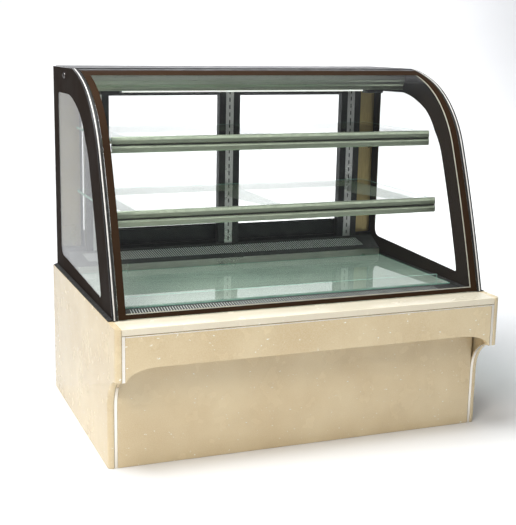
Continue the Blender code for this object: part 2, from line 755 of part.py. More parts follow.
def edge_trims_and_gaskets():
    """Bright trim on the end panes' curved edges, and the dark seals the front glass closes between."""
    for word, side in (("left", -1), ("right", 1)):
        low, high = sorted((side * (END_GLASS_IN + 0.0002), side * (END_GLASS_OUT + 0.0015)))
        add(f"{word}_edge_trim", prism_x(glass_band(0.0, TRIM_THICK), low, high), "bright_steel")
        low, high = sorted((side * GASKET_IN, side * GASKET_OUT))
        add(f"{word}_edge_gasket", prism_x(glass_band(0.0006, 0.0090), low, high), "black_rubber")


def front_glass():
    """Curved front pane, and the rail along its top edge that carries it on its hinge."""
    hinge = (0.0, HINGE_Y, HINGE_Z)
    outline = glass_band(0.0, FRONT_GLASS_THICK, drop=1)
    add("front_glass", prism_x(outline, -FRONT_GLASS_HALF, FRONT_GLASS_HALF), "clear_glass", pivot=hinge)
    top_y, top_z = glass_profile(0.0)[-2]
    section = [(top_y + 0.0008, top_z + 0.0006), (HINGE_Y - 0.002, HINGE_Z + 0.0025)]
    section += [(HINGE_Y + 0.0015, HINGE_Z), (HINGE_Y - 0.0010, HINGE_Z - 0.0130)]
    section.append((top_y + 0.0030, top_z - 0.0085))
    rail = prism_x(section, -FRONT_GLASS_HALF, FRONT_GLASS_HALF)
    add("front_glass_hinge_rail", rail, "black_coat", pivot=hinge)


def front_sill():
    """Metal rest behind the foot of the front glass."""
    low = LEDGE_TOP + FIT
    high = LEDGE_TOP + SILL_HIGH
    outline = [(-0.3365, low), (-0.3320, high), (LEDGE_BACK, high), (LEDGE_BACK, low)]
    add("front_sill", prism_x(outline, -FRONT_GLASS_HALF, FRONT_GLASS_HALF), "silver_aluminium")


def dome_bolts():
    """Domed bolts through the end panes."""
    for name, side in (("left_dome_bolt", -1), ("right_dome_bolt", 1)):
        profile = [(BOLT_SHANK_RADIUS, END_GLASS_IN - END_GLASS_OUT + FIT), (BOLT_SHANK_RADIUS, FIT)]
        for degrees in (0, 20, 40, 60, 78):
            angle = math.radians(degrees)
            profile.append((BOLT_HEAD_RADIUS * math.cos(angle), FIT + 0.0005 + 0.0060 * math.sin(angle)))
        profile.insert(2, (BOLT_HEAD_RADIUS, FIT))
        centre = (side * END_GLASS_OUT, BOLT_Y, BOLT_Z)
        bolt = turned([(r, side * a) for r, a in profile], centre, "X", 20)
        add(name, bolt, "bright_steel", smooth=True)


# Canopy


def top_panel():
    """Roof pan, open underneath."""
    low = (-END_GLASS_IN + FIT, CANOPY_FRONT, CANOPY_BOTTOM + FIT)
    high = (END_GLASS_IN - FIT, TRACK_BACK, HEIGHT)
    roof = add("top_panel", box(low, high), "black_coat")
    hollow_low = (low[0] + SHEET, low[1] + SHEET, low[2] - SHEET)
    hollow_high = (high[0] - SHEET, high[1] - SHEET, high[2] - SHEET)
    cut(roof, box(hollow_low, hollow_high))


def lamp_housing():
    """Stepped light channel under the front of the roof, open underneath."""
    front, back = LAMP_HOUSING_FRONT, LAMP_HOUSING_BACK
    low, high = LAMP_HOUSING_BOTTOM, CANOPY_BOTTOM
    outer = [(back, low), (back, high), (front, high), (front, high - 0.018), (front + 0.004, high - 0.022)]
    outer += [(front + 0.004, high - 0.030), (front + 0.010, high - 0.036), (front + 0.010, low)]
    inner = [(front + 0.012, low), (front + 0.012, high - 0.037), (front + 0.006, high - 0.031)]
    inner += [(front + 0.006, high - 0.021), (front + 0.002, high - 0.017), (front + 0.002, high - 0.002)]
    inner += [(back - 0.002, high - 0.002), (back - 0.002, low)]
    outline = outer + inner
    add("lamp_housing", prism_x(outline, -LAMP_HOUSING_HALF, LAMP_HOUSING_HALF), "silver_aluminium")


def top_lamp():
    """Canopy tube with a block holder at each end."""
    half = TOP_LAMP_HALF
    inside = half - LAMP_HOLDER_LONG / 2
    centre = (0.0, TOP_LAMP_Y, TOP_LAMP_Z)
    tube = turned([(LAMP_RADIUS, -inside), (LAMP_RADIUS, inside)], centre, "X", 20)
    lamp = add("top_lamp", tube, "lamp_white", smooth=True)
    holders = []
    for side in (-1, 1):
        low_x, high_x = sorted((side * half, side * (half - LAMP_HOLDER_LONG)))
        low = (low_x, TOP_LAMP_Y - LAMP_HOLDER_HALF, TOP_LAMP_Z - LAMP_HOLDER_DOWN)
        high = (high_x, TOP_LAMP_Y + LAMP_HOLDER_HALF, TOP_LAMP_Z + LAMP_HOLDER_UP)
        holders.append(box(low, high, bevel=0.0015))
    weld(lamp, merge(holders))


def shelf_lamps():
    """Capped tubes that sit behind the shelves' front rails."""
    half = (SHELF_RIGHT - SHELF_LEFT) / 2 - 0.004
    cap = LAMP_RADIUS + 0.0012
    profile = [(cap, -half), (cap, SHELF_LAMP_CAP - half), (LAMP_RADIUS, SHELF_LAMP_CAP - half)]
    profile += [(radius, -along) for radius, along in reversed(profile)]
    for word, (front, low) in SHELVES.items():
        centre = ((SHELF_LEFT + SHELF_RIGHT) / 2, front + SHELF_LAMP_Y, low + SHELF_LAMP_Z)
        add(f"{word}_shelf_lamp", turned(profile, centre, "X", 20), "lamp_white", smooth=True)


# Shelves


def shelf_rail_outline():
    """Thin stepped rail: grooved front, a lip underneath and a rebate for the glass on top."""
    high = RAIL_HIGH
    rest = RAIL_GLASS_Z - FIT
    outer = [(0.030, 0.0), (0.003, 0.0), (0.0, 0.003), (0.0, 0.018), (0.004, 0.021), (0.004, 0.024)]
    outer += [(0.001, 0.027), (0.003, high - 0.002), (0.005, high), (0.012, high)]
    inner = [(0.012, high - 0.002), (0.0055, high - 0.002), (0.0055, rest), (0.030, rest)]
    inner += [(0.030, rest - 0.002), (0.0045, rest - 0.002), (0.0045, 0.028), (0.0065, 0.0255)]
    inner += [(0.0065, 0.0195), (0.0025, 0.0165), (0.0025, 0.0025), (0.030, 0.0025)]
    return outer + inner


def shelves():
    """Glass shelves, their light rails and the cantilever carriers that hook on the posts."""
    for word, (front, low) in SHELVES.items():
        glass_low = low + RAIL_GLASS_Z
        glass_front = front + RAIL_GLASS_Y + FIT
        corner = (SHELF_LEFT, glass_front, glass_low)
        glass = box(corner, (SHELF_RIGHT, SHELF_BACK, glass_low + SHELF_THICK), bevel=0.001)
        add(f"{word}_shelf_glass", glass, "clear_glass")
        outline = [(front + y, low + z) for y, z in shelf_rail_outline()]
        add(f"{word}_shelf_rail", prism_x(outline, SHELF_LEFT, SHELF_RIGHT), "silver_aluminium")
        shelf_carrier(f"{word}_shelf_carrier", front + 0.034, glass_low - FIT)


def shelf_carrier(name, front, top):
    """Three tapered arms joined by a bar near the back."""
    back = POST_FRONT - FIT
    low = top - ARM_BACK_HIGH
    arm = [(front, top), (front, top - ARM_FRONT_HIGH), (back - 0.06, low), (back, low), (back, top)]
    bar = box((POST_XS[0], SHELF_BACK - 0.018, top - 0.020), (POST_XS[-1], SHELF_BACK - 0.003, top - 0.001))
    carrier = add(name, bar, "silver_aluminium")
    weld(carrier, merge([prism_x(arm, x - ARM_HALF, x + ARM_HALF) for x in POST_XS]))


def posts():
    """Rear posts, each slotted down its front for the shelf carriers."""
    rows = int((CANOPY_BOTTOM - SILL_TOP - 0.06) / STANDARD_SLOT_PITCH)
    for name, x in zip(("left_post", "centre_post", "right_post"), POST_XS):
        low = (x - POST_HALF, POST_FRONT, PANEL_HIGH + FIT)
        post = add(name, box(low, (x + POST_HALF, POST_BACK, CANOPY_BOTTOM), bevel=0.0015), "black_coat")
        pockets = []
        near, far = POST_FRONT - SHEET, POST_FRONT + 4 * SHEET
        for row in range(rows):
            z = SILL_TOP + 0.04 + row * STANDARD_SLOT_PITCH
            pockets.append(box((x - SHEET, near, z), (x + SHEET, far, z + STANDARD_SLOT_LONG)))
        cut(post, merge(pockets))


# Rear doors


def door_tracks():
    """Sill and header, each with two grooves for the doors."""
    sill_low = (-TRACK_HALF, TRACK_FRONT, PANEL_HIGH + FIT)
    sill = add("door_bottom_track", box(sill_low, (TRACK_HALF, TRACK_BACK, SILL_TOP)), "black_coat")
    header_low = (-TRACK_HALF, TRACK_FRONT, HEADER_BOTTOM)
    header = add("door_top_track", box(header_low, (TRACK_HALF, TRACK_BACK, CANOPY_BOTTOM)), "black_coat")
    beyond = TRACK_HALF + 0.01
    sill_grooves = []
    header_grooves = []
    for y in (INNER_DOOR_Y, OUTER_DOOR_Y):
        near, far = y - GROOVE_WIDE / 2, y + GROOVE_WIDE / 2
        sill_grooves.append(box((-beyond, near, SILL_TOP - SILL_GROOVE), (beyond, far, SILL_TOP + 0.01)))
        header_top = HEADER_BOTTOM + HEADER_GROOVE
        header_grooves.append(box((-beyond, near, HEADER_BOTTOM - 0.01), (beyond, far, header_top)))
    cut(sill, merge(sill_grooves))
    cut(header, merge(header_grooves))


def sliding_door(word, low_x, high_x, y, stiles):
    """A framed glass door with a finger pull in its wide outer stile."""
    half = DOOR_THICK / 2
    pivot = (low_x, y, DOOR_LOW)
    slab = box((low_x, y - half, DOOR_LOW), (high_x, y + half, DOOR_HIGH))
    frame = add(f"{word}_door_frame", slab, "black_coat", pivot=pivot)
    left, right = low_x + stiles[0], high_x - stiles[1]
    sill, head = DOOR_LOW + DOOR_BOTTOM_RAIL, DOOR_HIGH - DOOR_STILE
    cut(frame, box((left, y - 2 * half, sill), (right, y + 2 * half, head)))
    face = y + half
    middle = (DOOR_LOW + DOOR_HIGH) / 2
    pull_x = (low_x + left) / 2 if stiles[0] > stiles[1] else (right + high_x) / 2
    pull_low = (pull_x - PULL_HALF_X, face - PULL_DEEP, middle - PULL_HALF_Z)
    cut(frame, box(pull_low, (pull_x + PULL_HALF_X, face + 0.01, middle + PULL_HALF_Z)))
    glass_low = (left + FIT, y - DOOR_GLASS_THICK / 2, sill + FIT)
    glass = box(glass_low, (right - FIT, y + DOOR_GLASS_THICK / 2, head - FIT))
    add(f"{word}_door_glass", glass, "clear_glass", pivot=pivot)


def doors():
    sliding_door("left", -DOOR_OUT, DOOR_LAP, OUTER_DOOR_Y, (DOOR_OUTER_STILE, DOOR_STILE))
    sliding_door("right", -DOOR_LAP, DOOR_OUT, INNER_DOOR_Y, (DOOR_STILE, DOOR_OUTER_STILE))


def build():
    for item in list(bpy.data.objects):
        bpy.data.objects.remove(item, do_unlink=True)
    make_materials()
    stone_sides()
    front_apron()
    kick_panel()
    stone_ledge()
    profile_strips()
    base_frame()
    insulated_tub()
    compressor()
    fin_block("condenser_coil", CONDENSER_X, CONDENSER_Y, CONDENSER_Z, 22)
    fin_block("evaporator_coil", EVAPORATOR_X, EVAPORATOR_Y, EVAPORATOR_Z, 40)
    fans()
    condensate_tray()
    rear_service_panel()
    cord_gland()
    control_box()
    buttons()
    switches()
    deck()
    rear_air_grille()
    end_glass()
    edge_trims_and_gaskets()
    front_glass()
    front_sill()
    dome_bolts()
    top_panel()
    lamp_housing()
    top_lamp()
    shelf_lamps()
    shelves()
    posts()
    door_tracks()
    doors()


build()
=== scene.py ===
import json
import math

import bmesh
import bpy
from mathutils import Matrix, Vector
from mathutils.geometry import tessellate_polygon

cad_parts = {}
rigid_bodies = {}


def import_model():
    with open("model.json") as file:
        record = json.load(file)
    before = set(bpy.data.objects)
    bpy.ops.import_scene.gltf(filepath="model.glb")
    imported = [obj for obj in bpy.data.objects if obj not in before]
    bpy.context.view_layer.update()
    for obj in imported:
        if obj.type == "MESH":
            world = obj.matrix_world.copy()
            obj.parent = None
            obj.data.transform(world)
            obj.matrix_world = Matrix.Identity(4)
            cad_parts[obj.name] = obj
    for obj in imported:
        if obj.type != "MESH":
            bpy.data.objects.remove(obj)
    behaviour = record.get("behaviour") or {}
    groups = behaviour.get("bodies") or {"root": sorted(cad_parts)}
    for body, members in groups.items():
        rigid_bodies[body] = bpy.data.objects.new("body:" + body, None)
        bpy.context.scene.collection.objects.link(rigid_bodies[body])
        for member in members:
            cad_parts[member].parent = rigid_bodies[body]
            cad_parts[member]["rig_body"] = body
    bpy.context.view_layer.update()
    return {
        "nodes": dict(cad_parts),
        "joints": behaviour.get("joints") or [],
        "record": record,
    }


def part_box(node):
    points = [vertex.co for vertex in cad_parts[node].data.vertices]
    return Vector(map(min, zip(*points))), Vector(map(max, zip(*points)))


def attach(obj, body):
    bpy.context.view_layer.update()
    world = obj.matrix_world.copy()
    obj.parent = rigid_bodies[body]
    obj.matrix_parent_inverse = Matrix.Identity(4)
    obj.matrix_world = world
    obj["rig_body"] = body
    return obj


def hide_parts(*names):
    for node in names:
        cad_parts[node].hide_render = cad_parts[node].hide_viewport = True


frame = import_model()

# Camera: its place, the directions to its right and up, its lens and its sideways shift
CAMERA_PLACE = (-1.2415, -2.9830, 1.1855)
CAMERA_RIGHT = (0.9401, -0.3407, 0.0119)
CAMERA_UP = (0.0610, 0.2026, 0.9774)
CAMERA_LENS = 70.63
CAMERA_SHIFT = 0.0724

# Soft lights: name, place, what they point at, size, tint, power
LIGHTS = (
    ("key", (-2.3, -2.6, 3.0), (-0.2, 0.0, 0.4), 1.5, (1.0, 0.94, 0.84), 72.0),
    ("over", (-1.0, -0.5, 3.4), (-0.1, -0.2, 0.4), 1.8, (0.98, 1.0, 1.0), 122.0),
    ("back", (2.2, 2.2, 2.7), (2.4, 4.6, 0.3), 1.8, (1.0, 1.0, 1.0), 150.0),
)

# The front glass, as arcs of radius, lean at each end, and steps, from its foot up
GLASS_ARCS = ((4.060, 15.5, 22.0, 16), (0.345, 22.0, 68.0, 32), (0.620, 68.0, 80.0, 10))
GLASS_THICK = 0.006

# The front glass's print: thickness, lift off the glass, gap at the rim, and border widths
PRINT_THICK = 0.0002
PRINT_LIFT = 0.0001
PRINT_GAP = 0.0006
PRINT_SIDE = 0.022
PRINT_TOP = 0.050
PRINT_FOOT = 0.0135

# Pale lines on the glass's inner face, along the print's inner edge, standing for the aluminium profile's
# inner side with its highlight painted into the colour: upright and foot widths, and depths
LINE_WIDE = 0.0066
LINE_HIGH = 0.0030
LINE_DEPTHS = (GLASS_THICK + 0.0002, GLASS_THICK + 0.0012)

# The window left clear in each end pane's print
WINDOW_FRONT = 0.120
WINDOW_FRONT_TOP = 0.090
WINDOW_EASE = (45.0, 80.0)
WINDOW_REAR = 0.078
WINDOW_HIGH = 0.080
WINDOW_LOW_FRONT = 0.034
WINDOW_LOW_REAR = 0.056
WINDOW_ROUND = 0.014
WINDOW_LOW_ROUND = 0.030

# Half-round bead on the end panes' edge trims, its pale colour a painted highlight of the edge: distance
# across, and inset from the glass's face
BEAD_START = 0.0003
BEAD_SECTION = (
    (0.0, 0.0008), (0.0004, 0.0003), (0.0012, 0.0), (0.0028, 0.0), (0.0036, 0.0003), (0.0040, 0.0008),
)

# Insets of the edge trims' channel and of the seal beside it
CHANNEL_INSETS = (0.0008, 0.0026)
SEAL_INSETS = (0.0006, 0.0090)

# The doors: width of the stile cover, finger pull's distance from the edge, its half sizes and rim
STILE_COVER = 0.068
STILE_PULL = 0.037
PULL_HALF = (0.0105, 0.0515)
PULL_RIM = 0.0021

# Slots of the air grilles: pitch, width and lean
FRONT_SLOTS = (0.0084, 0.0024, -0.008)
REAR_SLOTS = (0.0080, 0.0042, 0.016)

# Louvres of the service panel: middles of the columns, half width, lowest blade, pitch and rows
LOUVRE_COLUMNS = (-0.140, 0.060, 0.260)
LOUVRE_HALF = 0.076
LOUVRE_START = 0.130
LOUVRE_PITCH = 0.018
LOUVRE_ROWS = 9

# The control box's window, as x and z of two corners, and its indicators
DISPLAY_WINDOW = (0.436, 0.362, 0.506, 0.390)
INDICATORS = ((0.4445, 0.3970), (0.4525, 0.3970))

# Detail sizes
SEAM = 0.0016
SCREW_RADIUS = 0.0042
BOLT_HOLE = 0.0042
TUBE_SEGMENTS = 12
STANDARD_HALF = 0.0140
STANDARD_SLOT_PITCH = 0.0254

# The sweep behind the case: half width, front, start of its curve, radius, top and floor
SWEEP_HALF = 9.0
SWEEP_FRONT = -7.0
SWEEP_BEND = 3.2
SWEEP_RADIUS = 2.5
SWEEP_TOP = 8.0
SWEEP_FLOOR = -0.0005

BUTTONS = ("set_button", "up_button", "down_button")

# Nodes that keep their CAD shape, by how far their edges are rounded
PLAIN = {
    0.0012: ("left_stone_side", "right_stone_side", "front_apron", "kick_panel", "base_frame"),
    0.0003: ("left_profile_strip", "right_profile_strip", "front_glass_hinge_rail", *BUTTONS),
    0.0006: ("front_sill",),
    0.0008: ("door_bottom_track", "door_top_track", "compressor"),
    0.0005: ("power_switch", "light_switch", "condenser_fan_shroud", "evaporator_fan_plate"),
    0.0004: ("cord_gland", "condenser_fan", "evaporator_fan"),
    0.0030: ("insulated_tub",),
    0.0010: ("condensate_tray",),
}

EVEN = (1.0, 1.0, 1.0)
SIDES = (("left", -1), ("right", 1))
POSTS = ("left_post", "centre_post", "right_post")


# Materials


class Finish:
    """A Principled material, with short calls for the patterns that drive it."""

    def __init__(self, name, color, roughness, metallic=0.0, **sockets):
        self.material = bpy.data.materials.new(name)
        self.material.use_nodes = True
        self.tree = self.material.node_tree
        self.shader = self.tree.nodes["Principled BSDF"]
        self.set("Base Color", (*color, 1.0))
        self.set("Roughness", roughness)
        self.set("Metallic", metallic)
        for socket, value in sockets.items():
            self.set(socket.replace("_", " "), value)

    def node(self, kind, **values):
        made = self.tree.nodes.new(kind)
        for key, value in values.items():
            setattr(made, key, value)
        return made

    def feed(self, socket, value):
        """Link a socket, or give it a plain value."""
        if isinstance(value, bpy.types.NodeSocket):
            self.tree.links.new(value, socket)
        else:
            socket.default_value = value

    def set(self, name, value):
        self.feed(self.shader.inputs[name], value)

    def place(self, stretch=EVEN):
        """Object coordinates, scaled along each axis."""
        mapping = self.node("ShaderNodeMapping")
        mapping.inputs["Scale"].default_value = stretch
        coordinates = self.node("ShaderNodeTexCoord")
        self.tree.links.new(coordinates.outputs["Object"], mapping.inputs["Vector"])
        return mapping.outputs["Vector"]

    def noise(self, scale, detail, stretch=EVEN):
        texture = self.node("ShaderNodeTexNoise")
        self.feed(texture.inputs["Vector"], self.place(stretch))
        texture.inputs["Scale"].default_value = scale
        texture.inputs["Detail"].default_value = detail
        return texture.outputs["Fac"]

    def cells(self, scale, output="Distance", stretch=EVEN):
        texture = self.node("ShaderNodeTexVoronoi")
        self.feed(texture.inputs["Vector"], self.place(stretch))
        texture.inputs["Scale"].default_value = scale
        return texture.outputs[output]

    def wave(self, scale):
        """Bands across the x axis."""
        texture = self.node("ShaderNodeTexWave", bands_direction="X")
        self.feed(texture.inputs["Vector"], self.place())
        texture.inputs["Scale"].default_value = scale
        return texture.outputs["Fac"]

    def span(self, value, low, high, start=0.0, end=1.0):
        """Map a value's range to another, clamped."""
        ranged = self.node("ShaderNodeMapRange")
        self.feed(ranged.inputs["Value"], value)
        limits = {"From Min": low, "From Max": high, "To Min": start, "To Max": end}
        for name, limit in limits.items():
            ranged.inputs[name].default_value = limit
        return ranged.outputs["Result"]

    def math(self, operation, first, second):
        made = self.node("ShaderNodeMath", operation=operation)
        self.feed(made.inputs[0], first)
        self.feed(made.inputs[1], second)
        return made.outputs[0]

    def mix(self, share, first, second):
        """Blend two colours. The colour sockets are picked by type, as names repeat across types."""
        made = self.node("ShaderNodeMix", data_type="RGBA")
        self.feed(made.inputs["Factor"], share)
        sides = [socket for socket in made.inputs if socket.type == "RGBA"]
        for side, value in zip(sides, (first, second)):
            self.feed(side, value if isinstance(value, bpy.types.NodeSocket) else (*value, 1.0))
        return next(socket for socket in made.outputs if socket.type == "RGBA")

    def tone(self, pattern, low, high, first, second):
        """Base colour between two colours, as a pattern runs from low to high."""
        self.set("Base Color", self.mix(self.span(pattern, low, high), first, second))

    def sheen(self, pattern, low, high, start, end):
        """Roughness between two values, as a pattern runs from low to high."""
        self.set("Roughness", self.span(pattern, low, high, start, end))

    def bump(self, height, strength, distance):
        made = self.node("ShaderNodeBump")
        made.inputs["Strength"].default_value = strength
        made.inputs["Distance"].default_value = distance
        self.feed(made.inputs["Height"], height)
        self.set("Normal", made.outputs["Normal"])


def shade_of(color, by, plus=0.0):
    """A colour made darker or lighter."""
    return tuple(min(1.0, c * by + plus) for c in color)


def cream_stone(name="cream_stone", lift=0.0):
    """Polished artificial stone: soft clouds, pale chips and fine brown specks. lift blends the colour
    towards near white, painting in the light on a strongly lit face.
    """
    f = Finish(name, (0.74, 0.62, 0.43), 0.24, Coat_Weight=0.25, Coat_Roughness=0.08)
    clouds = f.span(f.noise(6.0, 4.0), 0.35, 0.65)
    color = f.mix(clouds, (0.68, 0.532, 0.315), (0.77, 0.632, 0.402))
    grain = f.span(f.noise(420.0, 3.0), 0.40, 0.62)
    color = f.mix(f.math("MULTIPLY", grain, 0.30), color, (0.84, 0.74, 0.54))
    chips = f.span(f.noise(150.0, 2.0, stretch=(0.55, 1.0, 1.0)), 0.66, 0.70)
    chosen = f.span(f.noise(40.0, 1.0), 0.54, 0.60)
    color = f.mix(f.math("MULTIPLY", chips, chosen), color, (0.98, 0.96, 0.90))
    specks = f.span(f.cells(260.0, stretch=(1.0, 1.07, 0.93)), 0.14, 0.08)
    some = f.span(f.noise(75.0, 1.0, stretch=(1.1, 0.9, 1.0)), 0.52, 0.60)
    color = f.mix(f.math("MULTIPLY", f.math("MULTIPLY", specks, some), 0.6), color, (0.42, 0.30, 0.17))
    # lift: painted light, the colour lifted towards white as if lit strongly from above
    f.set("Base Color", f.mix(lift, color, (0.92, 0.90, 0.80)))
    f.sheen(f.noise(14.0, 3.0), 0.3, 0.7, 0.19, 0.30)
    f.bump(f.noise(180.0, 2.0), 0.04, 0.0004)
    return f.material


def bright_steel():
    """Polished stainless with faint draw lines and a warm cast."""
    f = Finish("bright_steel", (0.82, 0.78, 0.71), 0.12, 1.0)
    lines = f.noise(60.0, 3.0, stretch=(1.0, 1.0, 0.06))
    f.tone(lines, 0.35, 0.65, (0.76, 0.71, 0.62), (0.88, 0.85, 0.80))
    f.sheen(lines, 0.3, 0.7, 0.08, 0.19)
    f.bump(f.noise(900.0, 2.0, stretch=(1.0, 1.0, 0.05)), 0.03, 0.0002)
    return f.material


def brushed_steel(name="brushed_steel", color=(0.62, 0.60, 0.56), stretch=(0.03, 1.0, 1.0)):
    """Stainless sheet with a long brushed grain."""
    f = Finish(name, color, 0.30, 1.0)
    grain = f.noise(700.0, 3.0, stretch=stretch)
    f.tone(grain, 0.3, 0.7, shade_of(color, 0.82), shade_of(color, 1.14))
    f.sheen(f.noise(9.0, 3.0), 0.3, 0.7, 0.24, 0.38)
    f.bump(grain, 0.06, 0.0003)
    return f.material


def galvanised_steel():
    """Zinc-coated sheet with a broken crystal pattern."""
    f = Finish("galvanised_steel", (0.50, 0.52, 0.53), 0.40, 0.85)
    crystals = f.cells(55.0, "Color")
    tone = f.node("ShaderNodeSeparateColor")
    f.feed(tone.inputs[0], crystals)
    f.set("Base Color", f.mix(tone.outputs[0], (0.42, 0.44, 0.45), (0.62, 0.64, 0.65)))
    f.sheen(tone.outputs[1], 0.0, 1.0, 0.30, 0.52)
    f.bump(f.noise(300.0, 2.0), 0.05, 0.0003)
    return f.material


def black_coat():
    """Black powder coat with an orange-peel skin and a little dust."""
    f = Finish("black_coat", (0.012, 0.012, 0.014), 0.36, Coat_Weight=0.15, Coat_Roughness=0.2)
    f.tone(f.noise(22.0, 5.0), 0.45, 0.75, (0.010, 0.010, 0.012), (0.026, 0.025, 0.025))
    f.sheen(f.noise(35.0, 3.0), 0.3, 0.7, 0.30, 0.46)
    f.bump(f.noise(650.0, 2.0), 0.12, 0.0004)
    return f.material


def print_layer(name, color):
    """Ceramic print fired on glass: matt, finely grained, a little uneven."""
    f = Finish(name, color, 0.6, Specular_IOR_Level=0.01)
    grain = f.span(f.noise(1300.0, 2.0), 0.35, 0.65)
    clouds = f.span(f.noise(6.0, 3.0), 0.35, 0.65)
    share = f.math("MULTIPLY", clouds, 0.4)
    grained = f.mix(grain, shade_of(color, 0.78), shade_of(color, 1.25))
    f.set("Base Color", f.mix(share, grained, shade_of(color, 1.5)))
    f.sheen(clouds, 0.0, 1.0, 0.5, 0.7)
    return f.material


def rubber():
    """Matt black seal with a fine moulded grain."""
    f = Finish("rubber", (0.010, 0.010, 0.010), 0.62)
    f.tone(f.noise(60.0, 3.0), 0.4, 0.7, (0.008, 0.008, 0.008), (0.022, 0.021, 0.020))
    f.sheen(f.noise(90.0, 2.0), 0.3, 0.7, 0.50, 0.72)
    f.bump(f.noise(800.0, 2.0), 0.10, 0.0003)
    return f.material


def clear_glass(name, tint, shade, smear=0.0):
    """Clear glass that lets lamps through, with faint smears where it is handled."""
    f = Finish(name, tint, 0.0, Transmission_Weight=1.0, IOR=1.36)
    if smear:
        f.sheen(f.noise(11.0, 4.0), 0.45, 0.8, 0.0, smear)
    clear = f.node("ShaderNodeBsdfTransparent")
    clear.inputs["Color"].default_value = (*shade, 1.0)
    path = f.node("ShaderNodeLightPath")
    passing = f.math("MAXIMUM", path.outputs["Is Shadow Ray"], path.outputs["Is Diffuse Ray"])
    both = f.node("ShaderNodeMixShader")
    f.feed(both.inputs[0], passing)
    f.feed(both.inputs[1], f.shader.outputs[0])
    f.feed(both.inputs[2], clear.outputs[0])
    output = next(n for n in f.tree.nodes if n.type == "OUTPUT_MATERIAL")
    f.feed(output.inputs["Surface"], both.outputs[0])
    return f.material


def mint_glass():
    """Pale mint backing of the deck: bright, glossy, softly clouded."""
    f = Finish("mint_glass", (0.74, 0.80, 0.73), 0.16, Coat_Weight=0.3, Coat_Roughness=0.05)
    f.tone(f.noise(4.0, 3.0), 0.35, 0.65, (0.70, 0.77, 0.70), (0.79, 0.84, 0.77))
    f.sheen(f.noise(25.0, 3.0), 0.3, 0.7, 0.07, 0.16)
    return f.material


def glass_edge():
    """Ground green edge of a glass plate."""
    f = Finish("glass_edge", (0.30, 0.62, 0.52), 0.22, Coat_Weight=0.4, Coat_Roughness=0.1)
    grain = f.span(f.noise(500.0, 3.0, stretch=(0.2, 1.0, 1.0)), 0.3, 0.7)
    f.set("Base Color", f.mix(grain, (0.22, 0.52, 0.43), (0.50, 0.78, 0.69)))
    f.sheen(grain, 0.0, 1.0, 0.16, 0.34)
    return f.material


def satin_aluminium():
    """Anodised extrusion: silver with a green-grey cast and fine draw lines along its length."""
    f = Finish("satin_aluminium", (0.46, 0.50, 0.42), 0.30, 0.85)
    lines = f.noise(900.0, 3.0, stretch=(0.02, 1.0, 1.0))
    cast = f.span(f.noise(3.0, 2.0), 0.35, 0.65)
    color = f.mix(f.span(lines, 0.3, 0.7), (0.28, 0.325, 0.235), (0.44, 0.49, 0.37))
    f.set("Base Color", f.mix(f.math("MULTIPLY", cast, 0.4), color, (0.42, 0.465, 0.39)))
    f.sheen(lines, 0.2, 0.8, 0.24, 0.40)
    f.bump(lines, 0.06, 0.0002)
    return f.material


def finned_aluminium():
    """Thin packed fins."""
    f = Finish("finned_aluminium", (0.60, 0.62, 0.63), 0.34, 0.9)
    fins = f.wave(95.0)
    f.set("Base Color", f.mix(fins, (0.30, 0.31, 0.32), (0.74, 0.76, 0.77)))
    f.sheen(f.noise(40.0, 2.0), 0.3, 0.7, 0.28, 0.45)
    f.bump(fins, 0.5, 0.0006)
    return f.material


def lamp_tube():
    """Opal tube, lit, a little dimmer at its grain."""
    f = Finish("lamp_tube", (0.95, 0.95, 0.92), 0.30, Emission_Strength=0.8)
    f.set("Emission Color", f.mix(f.span(f.noise(30.0, 2.0), 0.3, 0.7), (1.0, 0.97, 0.90), (1.0, 1.0, 0.97)))
    f.bump(f.noise(400.0, 2.0), 0.03, 0.0002)
    return f.material


def white_liner():
    """White coated sheet over foam."""
    f = Finish("white_liner", (0.78, 0.79, 0.78), 0.40)
    f.tone(f.noise(8.0, 3.0), 0.3, 0.7, (0.72, 0.73, 0.72), (0.82, 0.83, 0.82))
    f.sheen(f.noise(40.0, 2.0), 0.3, 0.7, 0.34, 0.50)
    f.bump(f.noise(500.0, 2.0), 0.08, 0.0003)
    return f.material


def enamel():
    """Black baked enamel with a slight sag to its gloss."""
    f = Finish("enamel", (0.020, 0.020, 0.023), 0.28, Coat_Weight=0.5, Coat_Roughness=0.1)
    f.tone(f.noise(30.0, 4.0), 0.4, 0.7, (0.016, 0.016, 0.019), (0.045, 0.043, 0.042))
    f.sheen(f.noise(20.0, 3.0), 0.3, 0.7, 0.20, 0.38)
    f.bump(f.noise(120.0, 3.0), 0.08, 0.0006)
    return f.material


def moulded(name, color, roughness=0.45):
    """Moulded plastic with a fine spark-eroded grain."""
    f = Finish(name, color, roughness)
    f.tone(f.noise(50.0, 4.0), 0.35, 0.7, color, shade_of(color, 1.3, 0.004))
    f.sheen(f.noise(70.0, 2.0), 0.3, 0.7, roughness - 0.08, roughness + 0.10)
    f.bump(f.noise(1300.0, 2.0), 0.10, 0.0003)
    return f.material


def copper():
    """Drawn copper, browned in patches."""
    f = Finish("copper", (0.72, 0.38, 0.24), 0.28, 1.0)
    f.tone(f.noise(45.0, 4.0), 0.4, 0.7, (0.76, 0.42, 0.27), (0.42, 0.22, 0.14))
    f.sheen(f.noise(80.0, 3.0), 0.3, 0.7, 0.20, 0.42)
    return f.material


def led(name, color):
    """A small lit indicator lens."""
    f = Finish(name, color, 0.25, Emission_Strength=1.2)
    share = f.span(f.noise(600.0, 1.0), 0.3, 0.7)
    f.set("Emission Color", f.mix(share, color, shade_of(color, 0.7)))
    return f.material


